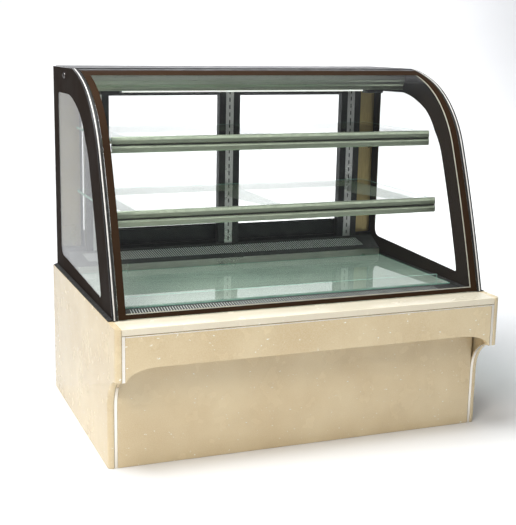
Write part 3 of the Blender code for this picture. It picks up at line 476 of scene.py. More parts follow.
STONE = cream_stone()
# The ledge's copy of the stone, lifted towards white: painted light from above
STONE_PAINTED_LIGHT = cream_stone("ledge_stone_painted_light", 0.55)
BRIGHT = bright_steel()
BRUSHED = brushed_steel()
GALVANISED = galvanised_steel()
BLACK = black_coat()
PRINT = print_layer("dark_print", (0.022, 0.016, 0.013))
BROWN = print_layer("brown_print", (0.030, 0.017, 0.010))
RUBBER = rubber()
PANE = clear_glass("pane_glass", (0.99, 1.0, 0.995), (0.95, 0.97, 0.96), 0.008)
SHELF = clear_glass("shelf_glass", (0.96, 0.99, 0.975), (0.90, 0.95, 0.93), 0.010)
MINT = mint_glass()
EDGE = glass_edge()
SATIN = satin_aluminium()
FINS = finned_aluminium()
LAMP = lamp_tube()
LINER = white_liner()
ENAMEL = enamel()
GREY_PLASTIC = moulded("grey_plastic", (0.16, 0.17, 0.18))
BLACK_PLASTIC = moulded("black_plastic", (0.012, 0.012, 0.013), 0.38)
RED_PLASTIC = moulded("red_plastic", (0.50, 0.025, 0.018), 0.30)
COPPER = copper()
GREEN_LED = led("green_led", (0.10, 0.85, 0.20))
BRUSHED_POST = brushed_steel("slotted_standard", (0.74, 0.74, 0.72), (1.0, 1.0, 0.03))
BACK_SHEET = brushed_steel("back_sheet", (0.52, 0.53, 0.54))
# Pale diffuse bead colour: a painted highlight of the end panes' edges
BEAD_PAINTED_HIGHLIGHT = moulded("bead_painted_highlight", (0.64, 0.63, 0.61), 0.22)
# Pale rail colour for the rail's painted highlight strips
RAIL_PAINTED_HIGHLIGHT = moulded("rail_painted_highlight", (0.42, 0.47, 0.37), 0.30)
# Pale diffuse trim: the profile's highlight painted into its colour
TRIM_PAINTED_HIGHLIGHT = moulded("trim_painted_highlight", (0.60, 0.56, 0.48), 0.30)
MATT_BLACK = moulded("matt_black", (0.010, 0.010, 0.010), 0.60)
DARK_CHROME = brushed_steel("dark_chrome", (0.16, 0.15, 0.15), (1.0, 1.0, 1.0))
CHAMPAGNE = brushed_steel("champagne_sheet", (0.44, 0.35, 0.17), (1.0, 1.0, 0.04))
DISPLAY = moulded("display_smoke", (0.010, 0.004, 0.004), 0.12)

SLOTS = {
    "cream_stone": STONE,
    "bright_steel": BRIGHT,
    "grey_steel": GALVANISED,
    "black_coat": BLACK,
    "black_rubber": RUBBER,
    "clear_glass": PANE,
    "silver_aluminium": SATIN,
    "lamp_white": LAMP,
    "foam_white": LINER,
    "compressor_black": ENAMEL,
    "fan_grey": GREY_PLASTIC,
    "switch_red": RED_PLASTIC,
}
SLOT_OF = {part["node"]: part["material_slot"] for part in frame["record"]["subparts"]}


# Mesh tools


def put(name, data):
    """A new object in the scene."""
    obj = bpy.data.objects.new(name, data)
    bpy.context.scene.collection.objects.link(obj)
    return obj


def piece(name, bm, material, body="cabinet", stands_for=(), bevel=0.0, smooth=32):
    """Make a piece of the visual model from a mesh in the row frame."""
    bmesh.ops.recalc_face_normals(bm, faces=bm.faces)
    mesh = bpy.data.meshes.new(name)
    bm.to_mesh(mesh)
    bm.free()
    obj = put(name, mesh)
    for item in material if isinstance(material, (list, tuple)) else [material]:
        mesh.materials.append(item)
    mesh.shade_smooth()
    mesh.set_sharp_from_angle(angle=math.radians(smooth))
    if bevel:
        rounding = obj.modifiers.new("edges", "BEVEL")
        rounding.width = bevel
        rounding.segments = 2
        rounding.limit_method = "ANGLE"
        rounding.angle_limit = math.radians(38)
        rounding.harden_normals = True
    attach(obj, body)
    if stands_for:
        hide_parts(*stands_for)
    return obj


def join(parts):
    """Several meshes in one."""
    whole = bmesh.new()
    for part in parts:
        mesh = bpy.data.meshes.new("part")
        part.to_mesh(mesh)
        part.free()
        whole.from_mesh(mesh)
        bpy.data.meshes.remove(mesh)
    return whole


def loft(rings):
    """A closed skin over rings of points, capped at both ends."""
    bm = bmesh.new()
    loops = [[bm.verts.new(p) for p in ring] for ring in rings]
    for lower, upper in zip(loops, loops[1:]):
        for i in range(len(lower)):
            j = (i + 1) % len(lower)
            bm.faces.new((lower[i], lower[j], upper[j], upper[i]))
    bm.faces.new(loops[0])
    bm.faces.new(loops[-1])
    return bm


def lay(point, along, axis):
    """A point of an outline laid square to an axis."""
    u, v = point
    return {"X": (along, u, v), "Y": (u, along, v), "Z": (u, v, along)}[axis]


def prism(outline, axis, low, high):
    return loft([[lay(p, along, axis) for p in outline] for along in (low, high)])


def block(low, high):
    x0, y0, z0 = low
    x1, y1, z1 = high
    return prism(rectangle(x0, y0, x1, y1), "Z", z0, z1)


def turned(profile, centre, axis, segments=32):
    """Radius and distance pairs turned about an axis through centre."""
    order = {"X": (1, 2, 0), "Y": (2, 0, 1), "Z": (0, 1, 2)}[axis]
    rings = []
    for radius, along in profile:
        ring = []
        for k in range(segments):
            angle = 2 * math.pi * k / segments
            offset = (radius * math.cos(angle), radius * math.sin(angle), along)
            place = [0.0, 0.0, 0.0]
            for slot_axis, value in zip(order, offset):
                place[slot_axis] = centre[slot_axis] + value
            ring.append(place)
        rings.append(ring)
    return loft(rings)


def holed_plate(outer, holes, axis, low, high):
    """A flat plate with holes right through it."""
    loops = [outer, *holes]
    flat = [[Vector((u, v, 0.0)) for u, v in loop] for loop in loops]
    points = [point for loop in loops for point in loop]
    bm = bmesh.new()
    faces = {}
    for along in (low, high):
        faces[along] = [bm.verts.new(lay(p, along, axis)) for p in points]
    for a, b, c in tessellate_polygon(flat):
        for along in (low, high):
            bm.faces.new((faces[along][a], faces[along][b], faces[along][c]))
    start = 0
    for loop in loops:
        count = len(loop)
        for i in range(count):
            a, b = start + i, start + (i + 1) % count
            bm.faces.new((faces[low][a], faces[low][b], faces[high][b], faces[high][a]))
        start += count
    return bm


def rounded(points, radius, steps=6):
    """A closed outline with its corners rounded. radius is one number, or one for each corner."""
    radii = radius if isinstance(radius, (list, tuple)) else [radius] * len(points)
    made = []
    for i, size in enumerate(radii):
        here = Vector(points[i])
        if not size:
            made.append(tuple(here))
            continue
        before = (Vector(points[i - 1]) - here).normalized()
        after = (Vector(points[(i + 1) % len(points)]) - here).normalized()
        half = before.angle(after) / 2
        reach = size / math.tan(half)
        middle = here + (before + after).normalized() * (size / math.sin(half))
        first = here + before * reach - middle
        last = here + after * reach - middle
        turn = first.angle_signed(last)
        for k in range(steps + 1):
            made.append(tuple(middle + Matrix.Rotation(-turn * k / steps, 2) @ first))
    return made


def rectangle(u0, v0, u1, v1, by=0.0):
    """Corners of a rectangle, set in by a margin."""
    return [(u0 + by, v0 + by), (u1 - by, v0 + by), (u1 - by, v1 - by), (u0 + by, v1 - by)]


def tube(points, radius):
    """A round tube along a line of points."""
    rings = []
    side = None
    for i, point in enumerate(points):
        ahead = Vector(points[min(i + 1, len(points) - 1)])
        behind = Vector(points[max(i - 1, 0)])
        along = (ahead - behind).normalized()
        side = along.orthogonal() if side is None else side - along * side.dot(along)
        side.normalize()
        other = along.cross(side)
        ring = []
        for k in range(TUBE_SEGMENTS):
            angle = 2 * math.pi * k / TUBE_SEGMENTS
            across, over = radius * math.cos(angle), radius * math.sin(angle)
            ring.append(Vector(point) + side * across + other * over)
        rings.append(ring)
    return loft(rings)


def refined(node, material=None, bevel=0.0006, angle=32):
    """A CAD node's own shape, with clean faces, soft edges and a finished material."""
    source = frame["nodes"][node]
    bm = bmesh.new()
    bm.from_mesh(source.data)
    bmesh.ops.remove_doubles(bm, verts=bm.verts, dist=0.00002)
    bmesh.ops.dissolve_limit(bm, angle_limit=math.radians(0.5), verts=bm.verts, edges=bm.edges)
    slot = SLOT_OF[node]
    finish = material or SLOTS[slot]
    return piece(f"{node}_shell", bm, finish, source["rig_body"], (node,), bevel, smooth=angle)


def window_inset(lean):
    """How far the window's edge stands in from the glass, at a lean in radians."""
    low, high = (math.radians(angle) for angle in WINDOW_EASE)
    share = max(0.0, (lean - low) / (high - low))
    return WINDOW_FRONT + (WINDOW_FRONT_TOP - WINDOW_FRONT) * share


def glass_curve(inset, inset_at=None):
    """(y, z) points up the front glass, set in from its outer face."""
    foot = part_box("front_glass")[0]
    lean = math.radians(GLASS_ARCS[0][1])
    y, z = foot.y, foot.z + GLASS_THICK * math.sin(lean)
    points = []
    for radius, first, last, steps in GLASS_ARCS:
        first, last = math.radians(first), math.radians(last)
        for k in range(steps + 1):
            lean = first + (last - first) * k / steps
            along_y = y + radius * (math.cos(first) - math.cos(lean))
            along_z = z + radius * (math.sin(lean) - math.sin(first))
            if inset_at:
                inset = inset_at(lean)
            if k or not points:
                points.append((along_y + inset * math.cos(lean), along_z - inset * math.sin(lean)))
        y, z = along_y, along_z
    return points


def curved_sheet(insets, x0, x1):
    """A sheet that follows the front glass between two insets."""
    near, far = insets
    return prism(glass_curve(near) + glass_curve(far)[::-1], "X", x0, x1)


def trimmed_curve(inset):
    """The curve as far as the front glass itself goes."""
    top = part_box("front_glass")[1]
    return [p for p in glass_curve(inset) if p[0] <= top.y + 0.0002]


# Stone base


def plain_pieces():
    """The nodes that need nothing but soft edges and a finish."""
    for bevel, nodes in PLAIN.items():
        for node in nodes:
            refined(node, bevel=bevel)


def stone_joints():
    """Dark sealant lines where the slabs meet, and a bright bead under the ledge."""
    low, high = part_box("front_apron")
    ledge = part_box("stone_ledge")[0]
    line = block((low.x, low.y + 0.0008, ledge.z - SEAM), (high.x, low.y + 0.006, ledge.z + 0.0002))
    piece("ledge_seam", line, RUBBER)
    bead_low = (low.x, low.y - 0.0004, high.z - 0.0042)
    bead = block(bead_low, (high.x, low.y + 0.004, high.z - 0.0014))
    piece("ledge_bead", bead, BRIGHT, bevel=0.0004)


def side_seals():
    """Black seals on the stone sides' top edges, beside the end panes."""
    for word, side in SIDES:
        low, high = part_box(f"{word}_stone_side")
        glass_low, glass_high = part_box(f"{word}_end_glass")
        pane = max(abs(glass_low.x), abs(glass_high.x)) + 0.0003
        edge = max(abs(low.x), abs(high.x))
        outline = [(pane, high.z), (edge - 0.0012, high.z), (edge - 0.0026, high.z + 0.0022)]
        outline.append((pane, high.z + 0.0060))
        rings = []
        for y in (glass_low.y + 0.001, glass_high.y - 0.001):
            rings.append([(side * x, y, z + 0.0001) for x, z in outline])
        piece(f"{word}_side_seal", loft(rings), RUBBER, bevel=0.0004)


def deck_strips():
    """Black strips between the deck and the stone sides, under the end panes."""
    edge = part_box("deck_glass")[1].x + 0.0003
    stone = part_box("right_stone_side")[0].x - 0.0004
    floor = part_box("insulated_tub")[1].z + 0.0002
    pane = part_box("right_end_glass")[0].z - 0.0006
    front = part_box("stone_ledge")[1].y + 0.002
    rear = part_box("right_post")[0].y - 0.003
    for word, side in SIDES:
        x0, x1 = sorted((side * edge, side * stone))
        strip = block((x0, front, floor), (x1, rear, pane))
        piece(f"{word}_deck_strip", strip, RUBBER, bevel=0.0006)


# Glass body


def front_pane():
    """The curved front glass with smooth faces and its print."""
    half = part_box("front_glass")[1].x
    outer = trimmed_curve(0.0)
    inner = trimmed_curve(GLASS_THICK)[: len(outer)]
    outer = outer[: len(inner)]
    pane = prism(outer + inner[::-1], "X", -half, half)
    piece("front_glass_pane", pane, PANE, "front_glass_pane", ("front_glass",), bevel=0.0005)
    front_print(half)


def run_lengths(points):
    """Distance along a line of points, from its start."""
    runs = [0.0]
    for before, after in zip(points, points[1:]):
        runs.append(runs[-1] + math.dist(before, after))
    return runs


def stretch_of(points, start, stop):
    """The part of a line of points between two distances along it."""
    runs = run_lengths(points)
    made = []
    for here, place in zip(runs, points):
        if start < here < stop:
            made.append((here, place))
    for edge in (start, stop):
        k = max(i for i, run in enumerate(runs[:-1]) if run <= edge + 1e-9)
        share = (edge - runs[k]) / (runs[k + 1] - runs[k])
        spot = tuple(a + (b - a) * share for a, b in zip(points[k], points[k + 1]))
        made.append((edge, spot))
    return [place for _, place in sorted(made)]


def band_of(curves, start, stop):
    """Outline of the band between two curves, from one distance along them to another."""
    near, far = curves
    return stretch_of(near, start, stop) + stretch_of(far, start, stop)[::-1]


def front_print(half):
    """Brown print round the border of the front glass's outer face, and pale lines inside it: the profile's
    inner side, with a painted highlight.
    """
    curves = [trimmed_curve(inset) for inset in (-PRINT_LIFT - PRINT_THICK, -PRINT_LIFT)]
    length = run_lengths(curves[0])[-1] - 0.0008
    side = half - PRINT_SIDE
    rim = half - PRINT_GAP
    low, high = PRINT_FOOT, length - PRINT_TOP
    panels = [(-rim, rim, PRINT_GAP, low), (-rim, rim, high, length)]
    panels += [(-rim, -side, low, high), (side, rim, low, high)]
    bands = [prism(band_of(curves, start, stop), "X", x0, x1) for x0, x1, start, stop in panels]
    piece("front_glass_print", join(bands), BROWN, "front_glass_pane", smooth=60)
    curves = [trimmed_curve(inset) for inset in LINE_DEPTHS]
    upright = band_of(curves, low, high)
    lines = [prism(upright, "X", side, side + LINE_WIDE), prism(upright, "X", -side - LINE_WIDE, -side)]
    foot = band_of(curves, low + 0.0002, low + LINE_HIGH)
    lines.append(prism(foot, "X", 0.0004 - side, side - 0.0004))
    piece("front_glass_highlight_lines", join(lines), TRIM_PAINTED_HIGHLIGHT, "front_glass_pane", smooth=60)


def end_panes():
    """End panes with smooth front edges, a dark print round a rounded window, and ground edges."""
    low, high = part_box("left_end_glass")
    curve = glass_curve(0.003)
    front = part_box("top_panel")[0].y
    outline = [*curve, (front, high.z), (high.y, high.z), (high.y, low.z), (curve[0][0], low.z)]
    hole = bolt_hole()
    window = end_window(low, high)
    for word, sign in SIDES:
        inside, outside = sorted((sign * abs(low.x), sign * abs(high.x)), key=abs)
        pane = holed_plate(outline, [hole], "X", inside, outside)
        piece(f"{word}_end_pane", pane, PANE, stands_for=(f"{word}_end_glass",))
        for side, face, way in (("inner", inside, -sign), ("outer", outside, sign)):
            near, far = sorted((face + way * 0.00003, face + way * 0.00017))
            layer = holed_plate(shrunk(outline), [hole, window], "X", near, far)
            piece(f"{word}_end_print_{side}", layer, PRINT)


def end_window(low, high):
    """Outline of the clear window: it follows the front glass, with rounded corners behind."""
    floor = low.z + WINDOW_LOW_FRONT
    top = high.z - WINDOW_HIGH
    rear = high.y - WINDOW_REAR
    side = [p for p in glass_curve(0.0, window_inset) if floor + 0.010 < p[1]]
    corners = [(side[0][0] - 0.002, floor), *side, (side[-1][0] + 0.045, top), (rear, top)]
    corners.append((rear, low.z + WINDOW_LOW_REAR))
    radii = [0.006, *[0.0] * len(side), 0.020, WINDOW_ROUND, WINDOW_LOW_ROUND]
    return rounded(corners, radii)


def bolt_hole():
    """Outline of the bolt's hole in an end pane."""
    low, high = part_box("left_dome_bolt")
    y, z = (low.y + high.y) / 2, (low.z + high.z) / 2
    angles = [2 * math.pi * k / 20 for k in range(20)]
    return [(y + BOLT_HOLE * math.cos(angle), z + BOLT_HOLE * math.sin(angle)) for angle in angles]


def shrunk(outline, by=0.0004):
    """An outline moved a little towards its inside."""
    area = sum(a[0] * b[1] - b[0] * a[1] for a, b in zip(outline, outline[1:] + outline[:1]))
    turn = 1 if area > 0 else -1
    made = []
    for i, point in enumerate(outline):
        before = Vector(point) - Vector(outline[i - 1])
        after = Vector(outline[(i + 1) % len(outline)]) - Vector(point)
        if before.length < 1e-7 or after.length < 1e-7:
            continue
        sides = [Vector((-d.y, d.x)).normalized() * turn for d in (before, after)]
        way = (sides[0] + sides[1]).normalized()
        made.append(tuple(Vector(point) + way * (by / max(0.35, way.dot(sides[0])))))
    return made


def edge_trims():
    """Black channels along the end panes' curved edges, each with a pale bead whose colour paints the edge's
    highlight, and a seal.
    """
    for word, side in SIDES:
        trim, gasket = f"{word}_edge_trim", f"{word}_edge_gasket"
        low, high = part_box(trim)
        channel = curved_sheet(CHANNEL_INSETS, low.x, high.x)
        piece(f"{word}_edge_channel", channel, BLACK, stands_for=(trim,), bevel=0.0003)
        start = min(abs(low.x), abs(high.x)) + BEAD_START
        # The bead's pale colour is a painted highlight
        sections = []
        for across, inset in BEAD_SECTION:
            sections.append([(side * (start + across), y, z) for y, z in glass_curve(inset)])
        bead = loft(list(zip(*sections)))
        piece(f"{word}_edge_bead_painted_highlight", bead, BEAD_PAINTED_HIGHLIGHT, smooth=60)
        low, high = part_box(gasket)
        seal = curved_sheet(SEAL_INSETS, low.x, high.x)
        piece(f"{word}_edge_seal", seal, RUBBER, stands_for=(gasket,), bevel=0.0003)


def hinge_knobs():
    """Round pivots at both ends of the front glass's hinge line."""
    hinge = next(j for j in frame["joints"] if j["name"] == "front_glass_lift")
    y, z = hinge["pos_m"][1], hinge["pos_m"][2]
    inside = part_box("front_glass")[1].x + 0.0004
    for word, side in SIDES:
        profile = [(0.0040, 0.0), (0.0040, 0.0052), (0.0030, 0.0060)]
        knob = turned([(r, side * (inside + a)) for r, a in profile], (0.0, y, z - 0.0015), "X", 24)
        piece(f"{word}_hinge_knob", knob, BLACK_PLASTIC)


def bolts():
    """Domed bolt heads on the end panes, with their shanks in the panes' holes."""
    for word, side in SIDES:
        low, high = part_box(f"{word}_dome_bolt")
        centre = (0.0, (low.y + high.y) / 2, (low.z + high.z) / 2)
        head = (high.z - low.z) / 2
        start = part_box(f"{word}_end_glass")[1 if side > 0 else 0].x
        reach = (high.x if side > 0 else low.x) - start
        profile = [(0.0036, -side * 0.0072), (0.0036, side * 0.0002), (head, side * 0.0002)]
        for degrees in (0, 12, 24, 36, 48, 60, 72, 84):
            angle = math.radians(degrees)
            profile.append((head * math.cos(angle), reach * (0.15 + 0.85 * math.sin(angle))))
        dome = turned([(r, start + a) for r, a in profile], centre, "X", 36)
        piece(f"{word}_dome_bolt_head", dome, DARK_CHROME, stands_for=(f"{word}_dome_bolt",))


# Deck and grilles


def leaning_slots(u0, u1, v0, v1, pitch, wide, lean):
    """Outlines of slots that lean along u."""
    slots = []
    count = int((u1 - u0 - abs(lean)) / pitch)
    for k in range(count):
        u = u0 + pitch * k
        slots.append([(u + lean, v0), (u + lean + wide, v0), (u + wide, v1), (u, v1)])
    return slots


def front_grille():
    """Thin slotted sheet with folded long edges, over a white screen."""
    low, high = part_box("front_air_grille")
    margin, thick, fold = 0.055, 0.0006, 0.002
    slots = leaning_slots(low.x + margin, high.x - margin, low.y + 0.040, high.y - 0.010, *FRONT_SLOTS)
    plate = holed_plate(rectangle(low.x, low.y, high.x, high.y), slots, "Z", high.z - thick, high.z)
    piece("front_grille_sheet", plate, MATT_BLACK, stands_for=("front_air_grille",))
    rims = []
    for y0, y1 in ((low.y, low.y + fold), (high.y - fold, high.y)):
        rims.append(block((low.x, y0, low.z), (high.x, y1, high.z - thick)))
    piece("front_grille_folds", join(rims), BLACK)
    near = (low.x + 0.004, low.y + 0.003, high.z - 0.0012)
    screen = block(near, (high.x - 0.004, high.y - 0.003, high.z - 0.0007))
    piece("front_grille_screen", screen, LINER)


def rear_grille():
    """Bent hood: a plain upright face, and a sloping face with leaning slots over a white screen."""
    low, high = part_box("rear_air_grille")
    step = low.z + (high.z - low.z) * 0.42
    margin, thick = 0.045, 0.0018
    run = Vector((high.y - low.y, high.z - step))
    tilt = Matrix.Rotation(math.atan2(run.y, run.x), 4, "X")
    place = Matrix.Translation((0.0, low.y, step)) @ tilt
    slots = leaning_slots(
        low.x + margin, high.x - margin, run.length * 0.30, run.length * 0.86, *REAR_SLOTS
    )
    slope = holed_plate(rectangle(low.x, 0.0, high.x, run.length), slots, "Z", -thick, 0.0)
    slope.transform(place)
    piece("rear_grille_hood", slope, MATT_BLACK, stands_for=("rear_air_grille",))
    back = rectangle(low.x + 0.004, run.length * 0.28, high.x - 0.004, run.length * 0.88)
    screen = prism(back, "Z", -thick - 0.0006, -thick - 0.0001)
    screen.transform(place)
    piece("rear_grille_screen", screen, LINER)
    upright = block((low.x, low.y, low.z), (high.x, low.y + thick, step))
    piece("rear_grille_face", upright, BRUSHED, bevel=0.0004)
    lip = block((low.x, high.y - 0.0016, high.z - 0.012), (high.x, high.y, high.z))
    piece("rear_grille_lip", lip, BLACK, bevel=0.0004)


def glass_plate(name, node, face, body="cabinet", bevel=0.0008):
    """A flat plate with clear faces and ground green edges."""
    low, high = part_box(node)
    bm = block(low, high)
    bmesh.ops.recalc_face_normals(bm, faces=bm.faces)
    bmesh.ops.bevel(bm, geom=bm.edges[:], offset=bevel, segments=2, profile=0.5, affect="EDGES")
    thin = min(range(3), key=lambda axis: high[axis] - low[axis])
    for polygon in bm.faces:
        polygon.material_index = 0 if abs(polygon.normal[thin]) > 0.9 else 1
    return piece(name, bm, [face, EDGE], body, (node,), smooth=12)


def deck():
    """Deck plate on its pale backing, and the low guard glass."""
    glass_plate("deck_plate", "deck_glass", PANE)
    low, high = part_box("deck_glass")
    backing = block((low.x + 0.002, low.y + 0.002, low.z - 0.0003), (high.x - 0.002, high.y - 0.002, low.z))
    piece("deck_backing", backing, MINT)
    glass_plate("guard_plate", "front_guard_glass", PANE, bevel=0.0006)


# Shelves


def shelves():
    for word in ("upper", "lower"):
        glass_plate(f"{word}_shelf_plate", f"{word}_shelf_glass", SHELF)
        refined(f"{word}_shelf_rail", bevel=0.0003, angle=20)
        refined(f"{word}_shelf_carrier", bevel=0.0005)
        shelf_tube(word)
        rail_caps(word)
        rail_lines(word)
        shelf_pads(word)


def shelf_tube(word):
    """Lamp tube with sockets at its ends."""
    low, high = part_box(f"{word}_shelf_lamp")
    centre = (low + high) / 2
    half = (high.x - low.x) / 2
    radius = (high.z - low.z) / 2 - 0.0012
    inside = half - 0.020
    glow = turned([(radius, -inside), (radius, inside)], centre, "X", 32)
    piece(f"{word}_shelf_tube", glow, LAMP, stands_for=(f"{word}_shelf_lamp",))
    sockets = []
    for side in (-1, 1):
        profile = [(radius + 0.0012, side * half), (radius + 0.0012, side * (inside + 0.004))]
        profile += [(radius + 0.0004, side * (inside + 0.003)), (radius + 0.0004, side * inside)]
        sockets.append(turned(profile, centre, "X", 32))
    piece(f"{word}_shelf_sockets", join(sockets), GREY_PLASTIC)


def rail_lines(word):
    """Painted shade as a dark strip in the rail's groove, and painted highlights as pale strips above and
    below it.
    """
    low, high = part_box(f"{word}_shelf_rail")
    # Dark strip in the groove: painted shade of the recess
    groove = [(0.0022, 0.0212), (0.0038, 0.0212), (0.0038, 0.0238), (0.0022, 0.0238)]
    # Pale strips on the lower lip's top and on the rail's upper face: painted highlights
    lip = [(-0.0003, 0.0140), (-0.00005, 0.0140), (-0.00005, 0.0175), (-0.0003, 0.0175)]
    upper = [(0.0017, 0.0365), (0.0020, 0.0365), (0.0029, 0.0438), (0.0026, 0.0438)]
    strips = []
    for outline in (lip, upper, groove):
        placed = [(low.y + y, low.z + z) for y, z in outline]
        strips.append(prism(placed, "X", low.x + 0.0005, high.x - 0.0005))
    piece(f"{word}_rail_groove_painted_shade", strips.pop(), RUBBER)
    piece(f"{word}_rail_painted_highlights", join(strips), RAIL_PAINTED_HIGHLIGHT)


def rail_caps(word):
    """Screws in the rail's ends."""
    low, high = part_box(f"{word}_shelf_rail")
    heads = []
    for side, x in ((-1, low.x), (1, high.x)):
        for z in (low.z + 0.0105, low.z + 0.036):
            profile = [(0.0020, -side * 0.002), (0.0020, 0.0), (0.0012, side * 0.0006)]
            heads.append(turned([(r, x + a) for r, a in profile], (0.0, low.y + 0.0042, z), "X", 16))
    piece(f"{word}_rail_screws", join(heads), BRIGHT)


def shelf_pads(word):
    """Black rubber pads between the arms and the glass."""
    low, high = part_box(f"{word}_shelf_carrier")
    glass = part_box(f"{word}_shelf_glass")[0]
    pads = []
    for node in POSTS:
        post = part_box(node)
        x = (post[0].x + post[1].x) / 2
        for y in (low.y + 0.03, (low.y + high.y) / 2, high.y - 0.03):
            centre = (x, y, 0.0)
            pads.append(turned([(0.0038, high.z - 0.0006), (0.0032, glass.z - 0.00005)], centre, "Z", 20))
    piece(f"{word}_shelf_pads", join(pads), RUBBER)


def posts():
    """Black posts, each with a light slotted standard let into its front."""
    for node in POSTS:
        low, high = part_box(node)
        x = (low.x + high.x) / 2
        groove = 0.0045
        left, right = x - STANDARD_HALF, x + STANDARD_HALF
        outline = [(low.x, low.y), (left, low.y), (left, low.y + groove), (right, low.y + groove)]
        outline += [(right, low.y), (high.x, low.y), (high.x, high.y), (low.x, high.y)]
        body = prism(outline, "Z", low.z, high.z)
        piece(f"{node}_body", body, BLACK, stands_for=(node,), bevel=0.0010)
        slots = []
        rows = int((high.z - low.z - 0.03) / STANDARD_SLOT_PITCH)
        for row in range(rows):
            z = low.z + 0.02 + row * STANDARD_SLOT_PITCH
            slots.append(rectangle(x - 0.0022, z, x + 0.0022, z + 0.014))
        frontal = rectangle(left + 0.0003, low.z + 0.001, right - 0.0003, high.z - 0.001)
        face = holed_plate(frontal, slots, "Y", low.y + 0.0004, low.y + 0.0022)
        piece(f"{node}_standard", face, BRUSHED_POST)


# Canopy


def canopy():
    refined("lamp_housing", bevel=0.0003, angle=20)
    top_sheet()
    top_tube()


def top_sheet():
    """Roof pan with a flush rounded bead and screws along its long edges."""
    refined("top_panel", bevel=0.0012)
    low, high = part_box("top_panel")
    heads = []
    for x in (low.x + 0.02, 0.0, high.x - 0.02):
        for y in (low.y + 0.02, high.y - 0.02):
            heads.append(screw((x, y, high.z - 0.0012), "Z"))
    piece("roof_screws", join(heads), BRIGHT)
    roof = (low.x, low.y, high.x, high.y)
    margin, wide = 0.030, 0.004
    outer = rounded(rectangle(*roof, margin), 0.012)
    inner = rounded(rectangle(*roof, margin + wide), 0.009)
    bead = holed_plate(outer, [inner], "Z", high.z - 0.0006, high.z - 0.00001)
    piece("roof_bead", bead, BLACK)


def screw(centre, axis):
    """A low domed screw head that faces along its axis."""
    index = "XYZ".index(axis)
    profile = [(1.0, 0.0), (1.0, 0.0005), (0.8, 0.0010), (0.35, 0.00115)]
    place = [c if i != index else 0.0 for i, c in enumerate(centre)]
    return turned([(SCREW_RADIUS * r, centre[index] + a) for r, a in profile], place, axis, 20)


def top_tube():
    """Canopy lamp with its block holders."""
    low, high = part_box("top_lamp")
    y = (low.y + high.y) / 2
    z = high.z - 0.040
    holder = 0.060
    inside = high.x - holder
    glow = turned([(0.008, -inside), (0.008, inside)], (0.0, y, z), "X", 32)
    piece("top_tube", glow, LAMP, stands_for=("top_lamp",))
    blocks = []
    collars = []
    for side in (-1, 1):
        x0, x1 = sorted((side * high.x, side * inside))
        blocks.append(block((x0, low.y, low.z), (x1, high.y, high.z)))
        profile = [(0.0105, side * (inside + 0.002)), (0.0105, side * (inside - 0.008))]
        profile.append((0.0088, side * (inside - 0.010)))
        collars.append(turned(profile, (0.0, y, z), "X", 28))
    piece("lamp_holders", join(blocks), BLACK_PLASTIC, bevel=0.0015)
    piece("lamp_collars", join(collars), GREY_PLASTIC)


# Rear


def doors():
    """Door frames with seals round the glass, stile covers and pull rims."""
    for word, sign in SIDES:
        body = f"{word}_door"
        refined(f"{word}_door_frame", bevel=0.0010)
        glass_plate(f"{word}_door_pane", f"{word}_door_glass", PANE, body, bevel=0.0005)
        low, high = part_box(f"{word}_door_glass")
        face = (low.x, low.z, high.x, high.z)
        rim, hole = rectangle(*face), rectangle(*face, 0.005)
        seals = []
        for y, way in ((low.y, -1), (high.y, 1)):
            near, far = sorted((y + way * 0.0002, y + way * 0.0028))
            seals.append(holed_plate(rim, [hole], "Y", near, far))
        piece(f"{word}_door_seals", join(seals), RUBBER, body, bevel=0.0005)
        stile_cover(word, sign, body)
        pull_liner(word, sign, body)


def stile_cover(word, sign, body):
    """Thin champagne cover sheet on the wide stile's inner face."""
    low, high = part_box(f"{word}_door_frame")
    edge = (low.x + 0.003) if sign < 0 else (high.x - 0.003)
    near, far = sorted((edge, edge - sign * STILE_COVER))
    sheet = rounded(rectangle(near, low.z + 0.008, far, high.z - 0.009), 0.002, 3)
    cover = prism(sheet, "Y", low.y - 0.0006, low.y - 0.00002)
    piece(f"{word}_stile_cover", cover, CHAMPAGNE, body, bevel=0.0002)


def pull_liner(word, sign, body):
    """Thin bright rim round the finger pull."""
    low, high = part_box(f"{word}_door_frame")
    x = (low.x + STILE_PULL) if sign < 0 else (high.x - STILE_PULL)
    middle = (low.z + high.z) / 2
    wide, tall = PULL_HALF
    pull = (x - wide, middle - tall, x + wide, middle + tall)
    outer = rounded(rectangle(*pull), 0.004)
    inner = rounded(rectangle(*pull, PULL_RIM), 0.003)
    flange = holed_plate(outer, [inner], "Y", high.y, high.y + 0.0005)
    piece(f"{word}_pull_rim", flange, BRIGHT, body)


def service_panel():
    """Louvred rear panel: hooded blades behind the openings, and screws."""
    refined("rear_service_panel", BACK_SHEET, bevel=0.0010)
    low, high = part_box("rear_service_panel")
    blades = []
    for x in LOUVRE_COLUMNS:
        for row in range(LOUVRE_ROWS):
            z = LOUVRE_START + row * LOUVRE_PITCH
            outline = [(high.y - 0.0021, z - 0.001), (high.y - 0.0008, z - 0.001)]
            outline += [(high.y - 0.0060, z + 0.0072), (high.y - 0.0073, z + 0.0072)]
            blades.append(prism(outline, "X", x - LOUVRE_HALF, x + LOUVRE_HALF))
    piece("louvre_blades", join(blades), BACK_SHEET)
    heads = []
    for x in (low.x + 0.012, -0.20, 0.20, high.x - 0.012):
        for z in (low.z + 0.012, high.z - 0.012):
            heads.append(screw((x, high.y, z), "Y"))
    piece("panel_screws", join(heads), BRIGHT)


